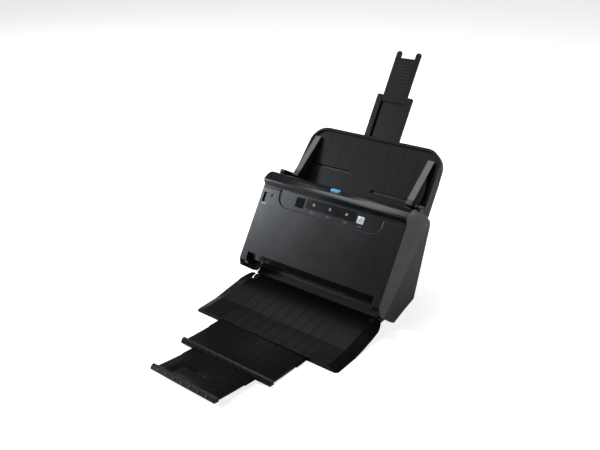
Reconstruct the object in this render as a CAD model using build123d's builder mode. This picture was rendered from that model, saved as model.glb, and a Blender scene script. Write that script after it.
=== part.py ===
from build123d import *
from math import sin, cos, tan, radians, degrees, hypot, atan2, pi
import os

os.makedirs("parts", exist_ok=True)

# Sheet-fed document scanner: a tilting front cover, a folding feed tray, a telescoping eject tray.
# Frame: x to the right seen from the front, the front faces -y, z up from the desk, millimetres.
# Side outlines are pairs (y, z), where y counts from the foot of the sloping face.

# The sloping face, from which the paper path and the inner works are placed
face_foot_y = -16.5
face_foot_z = 54.0
face_lean = 32.0
face_length = 130.0

# Half widths, counted outwards from the scan bars, and wall thicknesses
scan_half_width = 116.0
frame_margin = 8.0
frame_thickness = 2.0
works_width = 22.0
cap_thickness = 4.6
cover_gap = 0.4
cover_wall = 2.5
strip_width = 12.5

frame_inner_x = scan_half_width + frame_margin
frame_outer_x = frame_inner_x + frame_thickness
cap_outer_x = frame_inner_x + works_width
cap_inner_x = cap_outer_x - cap_thickness
cover_x = cap_inner_x - cover_gap
cutout_x = cover_x - strip_width

# Paper path behind the face: its front and rear guide surfaces, measured square to the face
front_guide_depth = 41.5
path_gap = 2.0
guide_thickness = 3.0
rear_guide_depth = front_guide_depth + path_gap

# Running clearances
slide_gap = 0.3
bush_gap = 0.05
nip_gap = 0.4

# Ridge along the top of the cover
ridge_rise = 6.7
ridge_depth = 18.35
ridge_radius = 25.0
ridge_front_angle = 136.1
ridge_rear_angle = 50.0
groove_depth = 0.8

# Joint places
cover_hinge_up = 2.0
cover_hinge_depth = 24.0
hinge_pin_radius = 3.0
tray_foot = (118.0, 132.0)
tray_slope = 50.0
tray_pivot_along = 35.2
tray_pivot_height = 29.6


def side(x):
    """Plane of a side outline at x: its first axis is y from the face's foot, its second z."""
    return Plane(origin=(x, face_foot_y, 0), x_dir=(0, 1, 0), z_dir=(1, 0, 0))


def sloping(foot, angle):
    """Plane of a panel that rises from foot at this angle from level, seen from the front."""
    normal = (0, -sin(radians(angle)), cos(radians(angle)))
    return Plane(origin=(0, face_foot_y + foot[0], foot[1]), x_dir=(1, 0, 0), z_dir=normal)


def behind(up, depth):
    """Side point that lies this far up the face and this deep behind it."""
    lean = radians(face_lean)
    y = up * sin(lean) + depth * cos(lean)
    return y, face_foot_z + up * cos(lean) - depth * sin(lean)


def around(centre, radius, angle):
    """Side point on a circle: the angle turns from +y towards +z."""
    return centre[0] + radius * cos(radians(angle)), centre[1] + radius * sin(radians(angle))


def block(plane, points, start, end, mode=Mode.ADD):
    """Closed outline on a plane, swept from start to end along the plane's normal."""
    with BuildSketch(plane.offset(start)) as profile:
        Polygon(*points, align=None)
    extrude(profile.sketch, amount=end - start, dir=plane.z_dir, mode=mode)


def panel(plane, across, up, out, radius=0, mode=Mode.ADD):
    """Plate on a plane between pairs of limits, with its corners rounded where radius is given."""
    with BuildSketch(plane.offset(out[0])) as profile:
        with Locations(((across[0] + across[1]) / 2, (up[0] + up[1]) / 2)):
            if radius:
                RectangleRounded(across[1] - across[0], up[1] - up[0], radius)
            else:
                Rectangle(across[1] - across[0], up[1] - up[0])
    extrude(profile.sketch, amount=out[1] - out[0], dir=plane.z_dir, mode=mode)


def rod(centre, radius, start, end, mode=Mode.ADD):
    """Round bar along x about a side point."""
    with BuildSketch(side(start)) as profile:
        with Locations(centre):
            Circle(radius)
    extrude(profile.sketch, amount=end - start, dir=(1, 0, 0), mode=mode)


def grown(limits, amount):
    """The same pair of limits with both moved outwards, or inwards where the amount is negative."""
    return limits[0] - amount, limits[1] + amount


face = sloping((0, face_foot_z), 90 - face_lean)
ridge_centre = behind(face_length + ridge_rise, ridge_depth)
cover_hinge = behind(cover_hinge_up, cover_hinge_depth)
tray = sloping(tray_foot, tray_slope)
tray_pivot = (
    tray_foot[0] + tray_pivot_along * cos(radians(tray_slope)) - tray_pivot_height * sin(radians(tray_slope)),
    tray_foot[1] + tray_pivot_along * sin(radians(tray_slope)) + tray_pivot_height * cos(radians(tray_slope)),
)


# Shafts and rollers: how far up the face and how deep behind it each axis lies
registration_up = 75.0
eject_up = 18.0
driven_depth = 51.7
driven_radius = 9.0
feed_up = 112.0
feed_depth = 55.7
feed_radius = 13.0
feed_width = 46.0
retard_depth = 33.3
retard_width = 40.0
idler_radius = 6.0
shaft_radius = 4.0
thin_shaft_radius = 2.0
ear_reach = 4.5
tyre_offset = 45.0
tyre_width = 26.0
motor_centre = (76.7, 29.7)
motor_radius = 16.0
motor_length = 32.0
motor_flange = 2.0
spindle_radius = 2.0
feed_hub_radius = 9.5
bush_radius = 6.5
bush_flange = 8.0
gear_gap = 3.0
gear_width = 4.0
belt_width = 4.0

registration_axis = behind(registration_up, driven_depth)
eject_axis = behind(eject_up, driven_depth)
feed_axis = behind(feed_up, feed_depth)
retard_axis = behind(feed_up, retard_depth)
retard_radius = feed_depth - retard_depth - feed_radius - nip_gap
idler_depth = driven_depth - driven_radius - nip_gap - idler_radius
registration_idler_axis = behind(registration_up, idler_depth)
eject_idler_axis = behind(eject_up, idler_depth)
tyre_spans = [(centre - tyre_width / 2, centre + tyre_width / 2) for centre in (-tyre_offset, tyre_offset)]
retard_spans = [(-retard_width / 2, retard_width / 2)]
motor_start = frame_inner_x - motor_length
gear_start = frame_outer_x + gear_gap
pulley_start = gear_start + gear_width + 0.5
pulley_end = pulley_start + belt_width + 0.7

# Casing round the works
base_front = 14.0
base_rear = 122.0
base_bottom = 3.0
base_wall = 2.5
base_height = 12.0
base_rear_height = 9.0
foot_radius = 6.0
foot_inset = 14.0
floor_vent = (40.0, 3.0)
floor_vent_pitch = 14.0
rear_wall_foot = (100.5, 24.0)
rear_wall_length = 107.0
rear_wall_slope = 70.6
shell_wall = 2.5
post_radius = 4.0
posts = [(58.0, 21.5), (99.0, 62.0), (114.0, 99.0)]
socket_up = (10.0, 30.0)
socket_across = (14.0, 86.0)
socket_depth = 8.0
socket_wall = 2.0
inlet_across = (20.0, 34.0)
port_across = (60.0, 73.0)
socket_hole_up = (14.0, 26.0)
inlet_bore = 5.6
inlet_pin = 2.1
inlet_bore_depth = 5.0
lock_across = (-123.0, -116.0)
lock_up = (16.0, 19.0)
rear_vent = (30.0, 2.4)
rear_vent_pitch = 7.0
rear_vent_place = (-50.0, 72.0)
board_across = (-80.0, 112.0)
board_up = (10.0, 66.0)
board_depth = 14.0
board_thickness = 1.6

rear = Plane(
    origin=(0, face_foot_y + rear_wall_foot[0], rear_wall_foot[1]),
    x_dir=(-1, 0, 0),
    z_dir=(0, sin(radians(rear_wall_slope)), -cos(radians(rear_wall_slope))),
)
rear_wall_top = around(rear_wall_foot, rear_wall_length, rear_wall_slope)


def base_pan():
    """Shallow pan under the works, with a front wall that carries the eject tray."""
    with BuildPart() as pan:
        foot_y, foot_z = rear_wall_foot
        seat = [(y, under_tray(y)) for y in (base_front, base_front + 6)]
        outer = [seat[0], (base_front - 3, base_bottom), (base_rear, base_bottom),
                 (base_rear, base_rear_height), (foot_y, foot_z), (foot_y - 3, foot_z),
                 (foot_y - 10, base_height), (36, base_height), seat[1]]
        block(side(0), outer, -frame_inner_x, frame_inner_x)
        floor = base_bottom + base_wall
        inner = [(base_front + 0.5, floor), (base_rear - base_wall, floor),
                 (base_rear - base_wall, base_rear_height - 1.4), (foot_y - 3.5, foot_z - 3.2),
                 (60, 30), (40, 30), (base_front + 3, seat[0][1] - 1.2)]
        inner_x = frame_inner_x - base_wall
        block(side(0), inner, -inner_x, inner_x, Mode.SUBTRACT)
        with BuildSketch(Plane.XY.offset(base_bottom)) as vents:
            with Locations((0, face_foot_y + (base_front + base_rear) / 2)):
                with GridLocations(floor_vent_pitch, 0, 9, 1):
                    SlotOverall(*floor_vent, rotation=90)
        extrude(vents.sketch, amount=base_wall, dir=(0, 0, 1), mode=Mode.SUBTRACT)
    return pan.part


def under_tray(y):
    """Height of the eject tray's underside at y, near its rear edge."""
    (y0, z0), (y1, z1) = eject_under[-2:]
    return z0 + (z1 - z0) * (y - y0) / (y1 - y0)


def rubber_feet():
    """Four round feet pressed under the pan."""
    with BuildPart() as feet:
        with BuildSketch(Plane.XY) as rounds:
            with Locations((0, face_foot_y + (base_front + base_rear) / 2)):
                span = base_rear - base_front - 2 * foot_inset
                with GridLocations(2 * (frame_inner_x - foot_inset), span, 2, 2):
                    Circle(foot_radius)
        extrude(rounds.sketch, amount=base_bottom, dir=(0, 0, 1))
        chamfer(feet.edges().group_by(Axis.Z)[0], 0.6)
    return feet.part


def rear_shell():
    """Rear wall and top ledge in one moulding, with a socket pocket and a row of vents."""
    with BuildPart() as shell:
        foot, top = rear_wall_foot, rear_wall_top
        ledge = (121.0, top[1] - 1.5)
        inset = shell_wall / sin(radians(rear_wall_slope))
        outline = [foot, top, ledge, (ledge[0], ledge[1] - shell_wall),
                   (top[0] - inset - shell_wall / tan(radians(rear_wall_slope)), top[1] - shell_wall),
                   (foot[0] - inset, foot[1])]
        block(side(0), outline, -cap_inner_x, cap_inner_x)
        panel(rear, socket_across, socket_up, (-socket_depth - shell_wall, 0), 2)
        fillet(shell.edges().filter_by(Axis.X).group_by(Axis.Y)[-1], 1.2)
        panel(rear, grown(socket_across, -socket_wall), grown(socket_up, -socket_wall), (-socket_depth, 1), 1,
              Mode.SUBTRACT)
        panel(rear, inlet_across, socket_hole_up, (-20, 1), 0, Mode.SUBTRACT)
        panel(rear, port_across, socket_hole_up, (-20, 1), 0, Mode.SUBTRACT)
        with BuildSketch(rear) as vents:
            with Locations(rear_vent_place):
                with GridLocations(rear_vent_pitch, 0, 10, 1):
                    SlotOverall(*rear_vent, rotation=90)
        extrude(vents.sketch, amount=-2 * shell_wall, mode=Mode.SUBTRACT)
        panel(rear, lock_across, lock_up, (-2 * shell_wall, 1), 1, Mode.SUBTRACT)
    return shell.part


def main_board():
    """Circuit board that stands on the rear shell's bosses, with its larger chips."""
    with BuildPart() as board:
        panel(rear, board_across, board_up, (-board_depth - board_thickness, -board_depth))
        for chip in [((-40, -16), (34, 58)), ((0, 12), (40, 52)), ((30, 50), (42, 56))]:
            panel(rear, *chip, (-board_depth - board_thickness - 2, -board_depth - board_thickness))
        for x in (board_across[0] + 5, board_across[1] - 5):
            with BuildSketch(rear.offset(-board_depth)) as boss:
                with Locations((x, board_up[1] - 5)):
                    Circle(3)
            extrude(boss.sketch, amount=board_depth - shell_wall, dir=rear.z_dir)
    return board.part


def power_inlet():
    """Round direct current inlet in a square housing on the board."""
    with BuildPart() as inlet:
        panel(rear, grown(inlet_across, -slide_gap), grown(socket_hole_up, -slide_gap),
              (-board_depth, -socket_depth))
        with BuildSketch(rear.offset(-socket_depth)) as bore:
            with Locations((sum(inlet_across) / 2, sum(socket_hole_up) / 2)):
                Circle(inlet_bore / 2)
                Circle(inlet_pin / 2, mode=Mode.SUBTRACT)
        extrude(bore.sketch, amount=-inlet_bore_depth, mode=Mode.SUBTRACT)
    return inlet.part


def data_port():
    """Square data socket with its contact tongue."""
    with BuildPart() as port:
        across = grown(port_across, -slide_gap)
        up = grown(socket_hole_up, -slide_gap)
        panel(rear, across, up, (-board_depth, -socket_depth))
        middle = (sum(across) / 2, sum(up) / 2)
        panel(rear, (middle[0] - 4.2, middle[0] + 4.2), (middle[1] - 3.9, middle[1] + 3.9),
              (-socket_depth - 5, -socket_depth + 1), 0.8, Mode.SUBTRACT)
        panel(rear, (middle[0] - 2.6, middle[0] + 2.6), (middle[1] - 1.6, middle[1] + 1.6),
              (-socket_depth - 5, -socket_depth - 0.5))
    return port.part


# Side caps: outline corners under and behind the machine, and the bevel along the front edge
cap_foot = (2.0, 39.0)
cap_bottom = [(31.5, 15.5), (42.5, 9.0), (74.0, 18.0), (102.0, 24.0)]
cap_rear = [(142.0, 140.0), (141.0, 149.5), (120.0, 170.0), (97.0, 181.0)]
cap_round = 1.6
bevel_start = -7.0
bevel_depth = 22.0
bevel_growth = 0.30
lug_radius = 4.2
lug_thickness = 3.2
lug_reach = 26.0
tray_pin_radius = 1.6
latch_pin = (112.0, 152.0)
latch_pin_radius = 1.5
fit_gap = 0.02
pin_seat = 3.0
cover_arm_start = cutout_x + 2.0
hook_start = cutout_x + cover_wall
hook_width = 6.0
hook_nose = 1.2
tray_ear_end = cap_inner_x - lug_thickness - 0.7
tray_ear_start = tray_ear_end - 6.5
screw_radius = 1.6
screw_head = (3.0, 2.0)
frame_front_depth = 43.0


def across_face(up):
    """Plane square to the face at this height on it: its second axis is the depth behind it."""
    y, z = behind(up, 0)
    lean = radians(face_lean)
    return Plane(origin=(0, face_foot_y + y, z), x_dir=(1, 0, 0), z_dir=(0, sin(lean), cos(lean)))


def side_cap():
    """Right side cap: plate, bevelled front edge, posts to the frame and the tray's lug."""
    ridge_points = [around(ridge_centre, ridge_radius, angle) for angle in (66, 100, ridge_front_angle)]
    with BuildPart() as cap:
        with BuildSketch(side(cap_inner_x)):
            with BuildLine():
                Polyline((0, face_foot_z), cap_foot, *cap_bottom, *cap_rear, ridge_points[0])
                ThreePointArc(*ridge_points)
                groove = behind(face_length + ridge_rise - 1, groove_depth)
                Polyline(ridge_points[2], groove, (0, face_foot_z))
            make_face()
        extrude(amount=cap_thickness)
        outer_edges = cap.edges().group_by(Axis.X)[-1]
        fillet(outer_edges.filter_by(lambda edge: edge.center().Y > face_foot_y + 45), cap_round)
        for up in (-20.0, face_length + 45):
            crease = bevel_depth + bevel_growth * up
            with BuildSketch(across_face(up)):
                Polygon((cap_inner_x, bevel_start), (cap_outer_x + 10, bevel_start),
                        (cap_outer_x + 10, crease), (cap_outer_x, crease), align=None)
        loft(ruled=True, mode=Mode.SUBTRACT)
        for centre in posts:
            rod(centre, post_radius, frame_outer_x, cap_inner_x)
        lug_start = cap_inner_x - lug_thickness
        rod(tray_pivot, lug_radius, lug_start, cap_inner_x)
        low = tray_pivot[1] - lug_reach
        near, far = tray_pivot[0] - lug_radius, tray_pivot[0] + lug_radius
        lug_sides = [(near, tray_pivot[1]), (near, low), (far, low), (far, tray_pivot[1])]
        block(side(0), lug_sides, lug_start, cap_inner_x)
        rod(tray_pivot, tray_pin_radius + fit_gap, lug_start, cap_inner_x + 1, Mode.SUBTRACT)
        rod(cover_hinge, hinge_pin_radius + fit_gap, cap_inner_x, cap_inner_x + pin_seat, Mode.SUBTRACT)
        rod(latch_pin, latch_pin_radius + fit_gap, cap_inner_x, cap_inner_x + pin_seat, Mode.SUBTRACT)
    return cap.part


def pins(centre, radius, start, end):
    """The same pin on both hands."""
    with BuildPart() as pair:
        rod(centre, radius, start, end)
        chamfer(pair.edges().filter_by(GeomType.CIRCLE).group_by(Axis.X)[0], 0.4)
        mirror(about=Plane.YZ)
    return pair.part


def cover_hinge_pins():
    """Pins that stand in the caps and carry the cover's two arms."""
    return pins(cover_hinge, hinge_pin_radius, cover_arm_start - 1.5, cap_inner_x + pin_seat)


def tray_hinge_pins():
    """Pins that stand in the caps' lugs and carry the feed tray's ears."""
    return pins(tray_pivot, tray_pin_radius, tray_ear_start + 1, cap_inner_x + 1)


def latch_pins():
    """Thin pins in the caps over which the latch hooks lie."""
    return pins(latch_pin, latch_pin_radius, hook_start - 0.5, cap_inner_x + pin_seat)


def case_screws():
    """Pan head screws that hold the caps to the frames from inside the frames."""
    with BuildPart() as screws:
        for centre in posts:
            rod(centre, screw_head[0], frame_inner_x - screw_head[1], frame_inner_x)
        fillet(screws.edges().group_by(Axis.X)[0], 0.8)
        for centre in posts:
            rod(centre, screw_radius - fit_gap, frame_inner_x, frame_outer_x)
        mirror(about=Plane.YZ)
    return screws.part


def side_frames():
    """Two pressed steel side plates that carry the shafts, the motor and the guide plate."""
    with BuildPart() as frames:
        with BuildSketch(side(frame_inner_x)) as plate:
            Polygon((52, 15.5), (68, 10), (92, 14), (121, 92), (124, 112), (116, 128),
                    behind(feed_up + 8, frame_front_depth + 2), behind(feed_up, frame_front_depth),
                    behind(cover_hinge_up, frame_front_depth), (42, 20), align=None)
            fillet(plate.vertices(), 2.5)
        extrude(amount=frame_thickness)
        for axis in (registration_axis, eject_axis, feed_axis):
            rod(axis, bush_radius, frame_inner_x, frame_outer_x, Mode.SUBTRACT)
        rod(motor_centre, 4, frame_inner_x, frame_outer_x, Mode.SUBTRACT)
        for centre in posts:
            rod(centre, screw_radius, frame_inner_x, frame_outer_x, Mode.SUBTRACT)
        rod((100, 84), 9, frame_inner_x, frame_outer_x, Mode.SUBTRACT)
        mirror(about=Plane.YZ)
    return frames.part


def shaft_bushes():
    """Flanged plain bushes of the three driven shafts, seated in both side frames."""
    with BuildPart() as bushes:
        for axis in (registration_axis, eject_axis, feed_axis):
            rod(axis, bush_radius - fit_gap, frame_inner_x, frame_outer_x + 1)
            rod(axis, bush_flange, frame_outer_x, frame_outer_x + 1)
            rod(axis, shaft_radius + bush_gap, frame_inner_x, frame_outer_x + 1, Mode.SUBTRACT)
        mirror(about=Plane.YZ)
    return bushes.part


# Guide plates and scan units
rear_scan_up = (45.0, 62.0)
front_scan_up = (32.0, 50.0)
scan_body = 14.0
glass_thickness = 2.0
window_gap = 1.0
ramp_foot = (23.0, 20.6)
path_bottom_up = -5.0
path_turn_up = 105.0


def window(up, half_width, near, far):
    """Cut a window through a guide plate, centred across, between two depths."""
    panel(face, (-half_width, half_width), up, (-far, -near), 0, Mode.SUBTRACT)


def tyre_windows(up, near, far):
    """Cut the two openings through which a shaft's pair of tyres meets the paper."""
    reach = driven_radius + 1
    for centre in (-tyre_offset, tyre_offset):
        sides = (centre - tyre_width / 2 - window_gap, centre + tyre_width / 2 + window_gap)
        panel(face, sides, (up - reach, up + reach), (-far, -near), 0, Mode.SUBTRACT)


def rear_guide_plate():
    """Rear wall of the paper path: feed slope, long straight run and the exit ramp."""
    with BuildPart() as guide:
        front_line = [tray_foot, behind(path_turn_up, rear_guide_depth),
                      behind(path_bottom_up, rear_guide_depth), ramp_foot]
        back_line = [(tray_foot[0] + 1.6, tray_foot[1] - guide_thickness - 0.2),
                     behind(path_turn_up - 1.2, rear_guide_depth + guide_thickness),
                     behind(path_bottom_up - 2, rear_guide_depth + guide_thickness),
                     (ramp_foot[0] + 1, ramp_foot[1] - guide_thickness)]
        block(side(0), front_line + back_line[::-1], -frame_inner_x, frame_inner_x)
        near, far = rear_guide_depth - 1, rear_guide_depth + guide_thickness + 1
        tyre_windows(registration_up, near, far)
        tyre_windows(eject_up, near, far)
        window((rear_scan_up[0] - 2, rear_scan_up[1] + 2), scan_half_width + window_gap, near, far)
        half = feed_width / 2 + window_gap
        rod(feed_axis, feed_radius + window_gap, -half, half, Mode.SUBTRACT)
        rod(feed_axis, shaft_radius + window_gap, -frame_inner_x, frame_inner_x, Mode.SUBTRACT)
    return guide.part


def scan_unit(up, glass_face, inward):
    """Scan bar behind its glass: inward is +1 where the bar lies deeper than the glass."""
    with BuildPart() as unit:
        near = glass_face + inward * glass_thickness
        far = near + inward * scan_body
        limits = sorted((-near, -far))
        panel(face, (-scan_half_width, scan_half_width), up, limits, 1.5)
        plate_back = glass_face + inward * guide_thickness
        wing = sorted((-plate_back, -far))
        for hand in (-1, 1):
            sides = sorted((hand * (scan_half_width - 8), hand * (scan_half_width + 6)))
            panel(face, sides, (up[0] - 5, up[1] + 5), wing, 2)
        ribs = sorted((-far, -far - inward * 2))
        for rib in range(8):
            middle = (rib - 3.5) * 2 * scan_half_width / 9
            panel(face, (middle - 0.8, middle + 0.8), (up[0] + 2, up[1] - 2), ribs)
    return unit.part


def scan_glass(up, glass_face, inward):
    """Clear strip that lies flush with the paper path."""
    with BuildPart() as glass:
        limits = sorted((-glass_face, -glass_face - inward * glass_thickness))
        panel(face, (-scan_half_width, scan_half_width), (up[0] + 0.5, up[1] - 0.5), limits)
    return glass.part


# Rollers, gears and the belt
gear_module = 1.0
registration_teeth = 20
idler_teeth = 16
feed_teeth = 24
pulley_radius = 9.0
motor_pulley_radius = 5.0
belt_thickness = 1.0
belt_gap = 0.1
mesh_gap = 0.1
registration_pitch = gear_module * registration_teeth / 2
idler_pitch = gear_module * idler_teeth / 2
feed_pitch = gear_module * feed_teeth / 2


def driven_tyres(axis):
    """Pair of rubber tyres on one of the two driven shafts."""
    with BuildPart() as rubber:
        for start, end in tyre_spans:
            rod(axis, driven_radius, start, end)
            rod(axis, shaft_radius + fit_gap, start, end, Mode.SUBTRACT)
        chamfer(rubber.edges().filter_by(GeomType.CIRCLE).group_by(SortBy.RADIUS)[-1], 0.6)
    return rubber.part


def long_shaft(axis, end):
    """Ground shaft through both bushes; its driven end carries gears or a pulley."""
    with BuildPart() as shaft:
        rod(axis, shaft_radius, -frame_outer_x - 2.5, end)
        chamfer(shaft.edges().filter_by(GeomType.CIRCLE), 0.5)
    return shaft.part


def gear_profile(teeth, turn=0.0):
    """Sketch a gear of straight sided teeth, with its first tooth turned by this many degrees."""
    pitch = gear_module * teeth / 2
    root = pitch - 1.25 * gear_module
    Circle(root)
    step = 360 / teeth
    for tooth in range(teeth):
        angle = turn + tooth * step
        corners = []
        for radius, half in ((root - 0.3, 0.30), (pitch, 0.235), (pitch + gear_module, 0.12)):
            corners.append((radius, half * step))
        left = [polar(radius, angle + half) for radius, half in corners]
        right = [polar(radius, angle - half) for radius, half in reversed(corners)]
        Polygon(*left, *right, align=None)


def polar(radius, angle):
    """Point at a radius and an angle in degrees."""
    return radius * cos(radians(angle)), radius * sin(radians(angle))


def gear_plane(axis, start):
    """Plane at x on an axis, where gears are drawn about their own centre."""
    return Plane(origin=(start, face_foot_y + axis[0], axis[1]), x_dir=(0, 1, 0), z_dir=(1, 0, 0))


def drive_gear(axis, teeth, turn, bore, hub=0.0):
    """Spur gear in the gear plane, with a hub on its outer side where one is asked for."""
    with BuildPart() as gear:
        with BuildSketch(gear_plane(axis, gear_start)) as rim:
            gear_profile(teeth, turn)
        extrude(rim.sketch, amount=gear_width, dir=(1, 0, 0))
        if hub:
            rod(axis, hub, gear_start + gear_width, gear_start + gear_width + 2)
        rod(axis, bore, gear_start, gear_start + gear_width + 2, Mode.SUBTRACT)
    return gear.part


def meeting_point(first, first_distance, second, second_distance):
    """Side point at the given distances from two axes, on the rear side of their line."""
    dy, dz = second[0] - first[0], second[1] - first[1]
    span = hypot(dy, dz)
    along = (first_distance**2 - second_distance**2 + span**2) / (2 * span)
    aside = (first_distance**2 - along**2) ** 0.5
    return (first[0] + (along * dy + aside * dz) / span, first[1] + (along * dz - aside * dy) / span)


idler_axis = meeting_point(
    registration_axis, registration_pitch + idler_pitch + mesh_gap,
    feed_axis, idler_pitch + feed_pitch + mesh_gap,
)


def heading(start, end):
    """Angle in degrees of the direction from one side point to another."""
    return degrees(atan2(end[1] - start[1], end[0] - start[0]))


registration_turn = heading(registration_axis, idler_axis)
idler_turn = registration_turn + 180 + 180 / idler_teeth
idler_to_feed = heading(idler_axis, feed_axis)
feed_turn = idler_to_feed + 180 + 180 / feed_teeth - (idler_turn - idler_to_feed) * idler_pitch / feed_pitch


def registration_gear():
    """Spur gear with the belt pulley moulded on its outer side."""
    with BuildPart() as gear:
        with BuildSketch(gear_plane(registration_axis, gear_start)) as rim:
            gear_profile(registration_teeth, registration_turn)
        extrude(rim.sketch, amount=gear_width, dir=(1, 0, 0))
        rod(registration_axis, pulley_radius, gear_start + gear_width, pulley_end)
        rod(registration_axis, pulley_radius + 1.5, pulley_end - 0.6, pulley_end)
        rod(registration_axis, shaft_radius + fit_gap, gear_start, pulley_end, Mode.SUBTRACT)
    return gear.part


def eject_pulley():
    """Toothless belt pulley with one flange, and a hub that reaches the bush."""
    with BuildPart() as pulley:
        rod(eject_axis, pulley_radius, pulley_start, pulley_end)
        rod(eject_axis, pulley_radius + 1.5, pulley_end - 0.6, pulley_end)
        rod(eject_axis, bush_radius, gear_start - 1, pulley_start)
        rod(eject_axis, shaft_radius + fit_gap, gear_start - 1, pulley_end, Mode.SUBTRACT)
    return pulley.part


def motor_pulley():
    """Small pulley on the motor's spindle."""
    with BuildPart() as pulley:
        rod(motor_centre, motor_pulley_radius, pulley_start, pulley_end)
        rod(motor_centre, spindle_radius, motor_start + 10, pulley_end + 0.5)
    return pulley.part


def drive_motor():
    """Round motor on a flange plate that lies against the side frame."""
    with BuildPart() as motor:
        rod(motor_centre, motor_radius, motor_start, frame_inner_x)
        fillet(motor.edges().group_by(Axis.X)[0], 2)
        near, far = motor_centre[0] - 12, motor_centre[0] + 18
        flange = [(near, motor_centre[1] - 12), (far, motor_centre[1] - 6), (far, motor_centre[1] + 16),
                  (near, motor_centre[1] + 18)]
        block(side(0), flange, frame_inner_x - motor_flange, frame_inner_x)
        rod(motor_centre, 6, motor_start - 2, motor_start)
        rod(motor_centre, spindle_radius + bush_gap, motor_start + 9, frame_inner_x, Mode.SUBTRACT)
    return motor.part


def belt_loop(grow):
    """Outline of the belt's path round its three pulleys, grown outwards by this much."""
    for centre, radius in ((registration_axis, pulley_radius), (eject_axis, pulley_radius),
                           (motor_centre, motor_pulley_radius)):
        with Locations(centre):
            Circle(radius + grow)


def drive_belt():
    """Flat belt round the registration, eject and motor pulleys."""
    start = pulley_start + 0.2
    with BuildPart() as belt:
        for grow, mode in ((belt_gap + belt_thickness, Mode.ADD), (belt_gap, Mode.SUBTRACT)):
            with BuildSketch(side(start)) as loop:
                belt_loop(grow)
                make_hull(loop.sketch_local.edges())
            extrude(loop.sketch, amount=belt_width - 0.4, dir=(1, 0, 0), mode=mode)
    return belt.part


def feed_shaft():
    """Feed shaft with the hub of its tyre."""
    with BuildPart() as shaft:
        rod(feed_axis, shaft_radius, -frame_outer_x - 2.5, gear_start + gear_width + 2.5)
        rod(feed_axis, feed_hub_radius, -feed_width / 2, feed_width / 2)
    return shaft.part


def feed_roller():
    """Wide ribbed tyre of the feed shaft."""
    with BuildPart() as tyre:
        rod(feed_axis, feed_radius, -feed_width / 2, feed_width / 2)
        for groove in range(5):
            middle = (groove - 2) * feed_width / 6
            rod(feed_axis, feed_radius, middle - 0.6, middle + 0.6, Mode.SUBTRACT)
            rod(feed_axis, feed_radius - 0.8, middle - 0.6, middle + 0.6)
        rod(feed_axis, feed_hub_radius + fit_gap, -feed_width / 2, feed_width / 2, Mode.SUBTRACT)
    return tyre.part


def idler_gear():
    """Gear between the registration and feed gears, turning on a stud of its own."""
    return drive_gear(idler_axis, idler_teeth, idler_turn, thin_shaft_radius + bush_gap)


def idler_stud():
    """Fixed stud of the idler gear, riveted into the side frame."""
    with BuildPart() as stud:
        rod(idler_axis, thin_shaft_radius, frame_outer_x, gear_start + gear_width + 2.5)
        rod(idler_axis, 3.5, frame_outer_x, gear_start - slide_gap)
    return stud.part


def feed_gear():
    """Gear of the feed shaft, with a hub on its outer side."""
    return drive_gear(feed_axis, feed_teeth, feed_turn, shaft_radius + fit_gap, hub=6.0)


def pinch_rollers(axis, radius, spans):
    """Small rollers moulded on a thin shaft, which turns in the guide plate's ears."""
    with BuildPart() as rollers:
        rod(axis, thin_shaft_radius, spans[0][0] - ear_reach, spans[-1][1] + ear_reach)
        for start, end in spans:
            rod(axis, radius, start, end)
        chamfer(rollers.edges().filter_by(GeomType.CIRCLE).group_by(SortBy.RADIUS)[-1], 0.5)
    return rollers.part


# Front cover outline, as pairs of distance up the face and depth behind it
cover_underside = [(-5.3, 10.4), (-5.3, 29.3), (-3.0, 38.5)]
cutout_top = 15.0
cutout_lip = (4.6, 14.8)
cutout_roof = 1.4
throat_front = [(140.8, 34.7), (156.8, 28.2)]
field_half_width = cutout_x - 24.5
field_low = face_length - 26.0
field_depth = 2.0
field_corner = 21.0
hinge_boss_radius = 6.5
latch_shaft_radius = 3.0
strip_back = front_guide_depth - path_gap
edge_relief = 9.0
strip_points = [(0, 0), *cover_underside, (-3.0, strip_back)]
middle_points = [(cutout_top, 0), cutout_lip, (cutout_roof, 38.0), (cutout_roof, front_guide_depth)]


def cover_profile(low_points):
    """Closed side outline of the cover above the given points along its underside."""
    front = [behind(*point) for point in low_points]
    rear_line = [behind(feed_up, low_points[-1][1])] + [behind(*point) for point in throat_front]
    ridge_points = [around(ridge_centre, ridge_radius, angle)
                    for angle in (ridge_rear_angle, 90, ridge_front_angle)]
    with BuildLine() as outline:
        Polyline(*front, *rear_line, ridge_points[0])
        ThreePointArc(*ridge_points)
        Polyline(ridge_points[2], behind(face_length + ridge_rise - 1, groove_depth),
                 behind(face_length, 0), front[0])
    return outline.line.edges()


def cover_prism(low_points, start, end, inset, mode):
    """Sweep the cover's outline, drawn in by the inset, between two places along x."""
    with BuildSketch(side(start)) as profile:
        make_face(cover_profile(low_points))
        if inset:
            offset(amount=-inset, kind=Kind.INTERSECTION, mode=Mode.REPLACE)
            low, back = low_points[-1][0] + inset, low_points[-1][1]
            near, far = back - 3 * inset, back + 2
            Polygon(behind(low, near), behind(low, far), behind(feed_up - 3, far), behind(feed_up - 3, near),
                    align=None)
    extrude(profile.sketch, amount=end - start, dir=(1, 0, 0), mode=mode)


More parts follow.
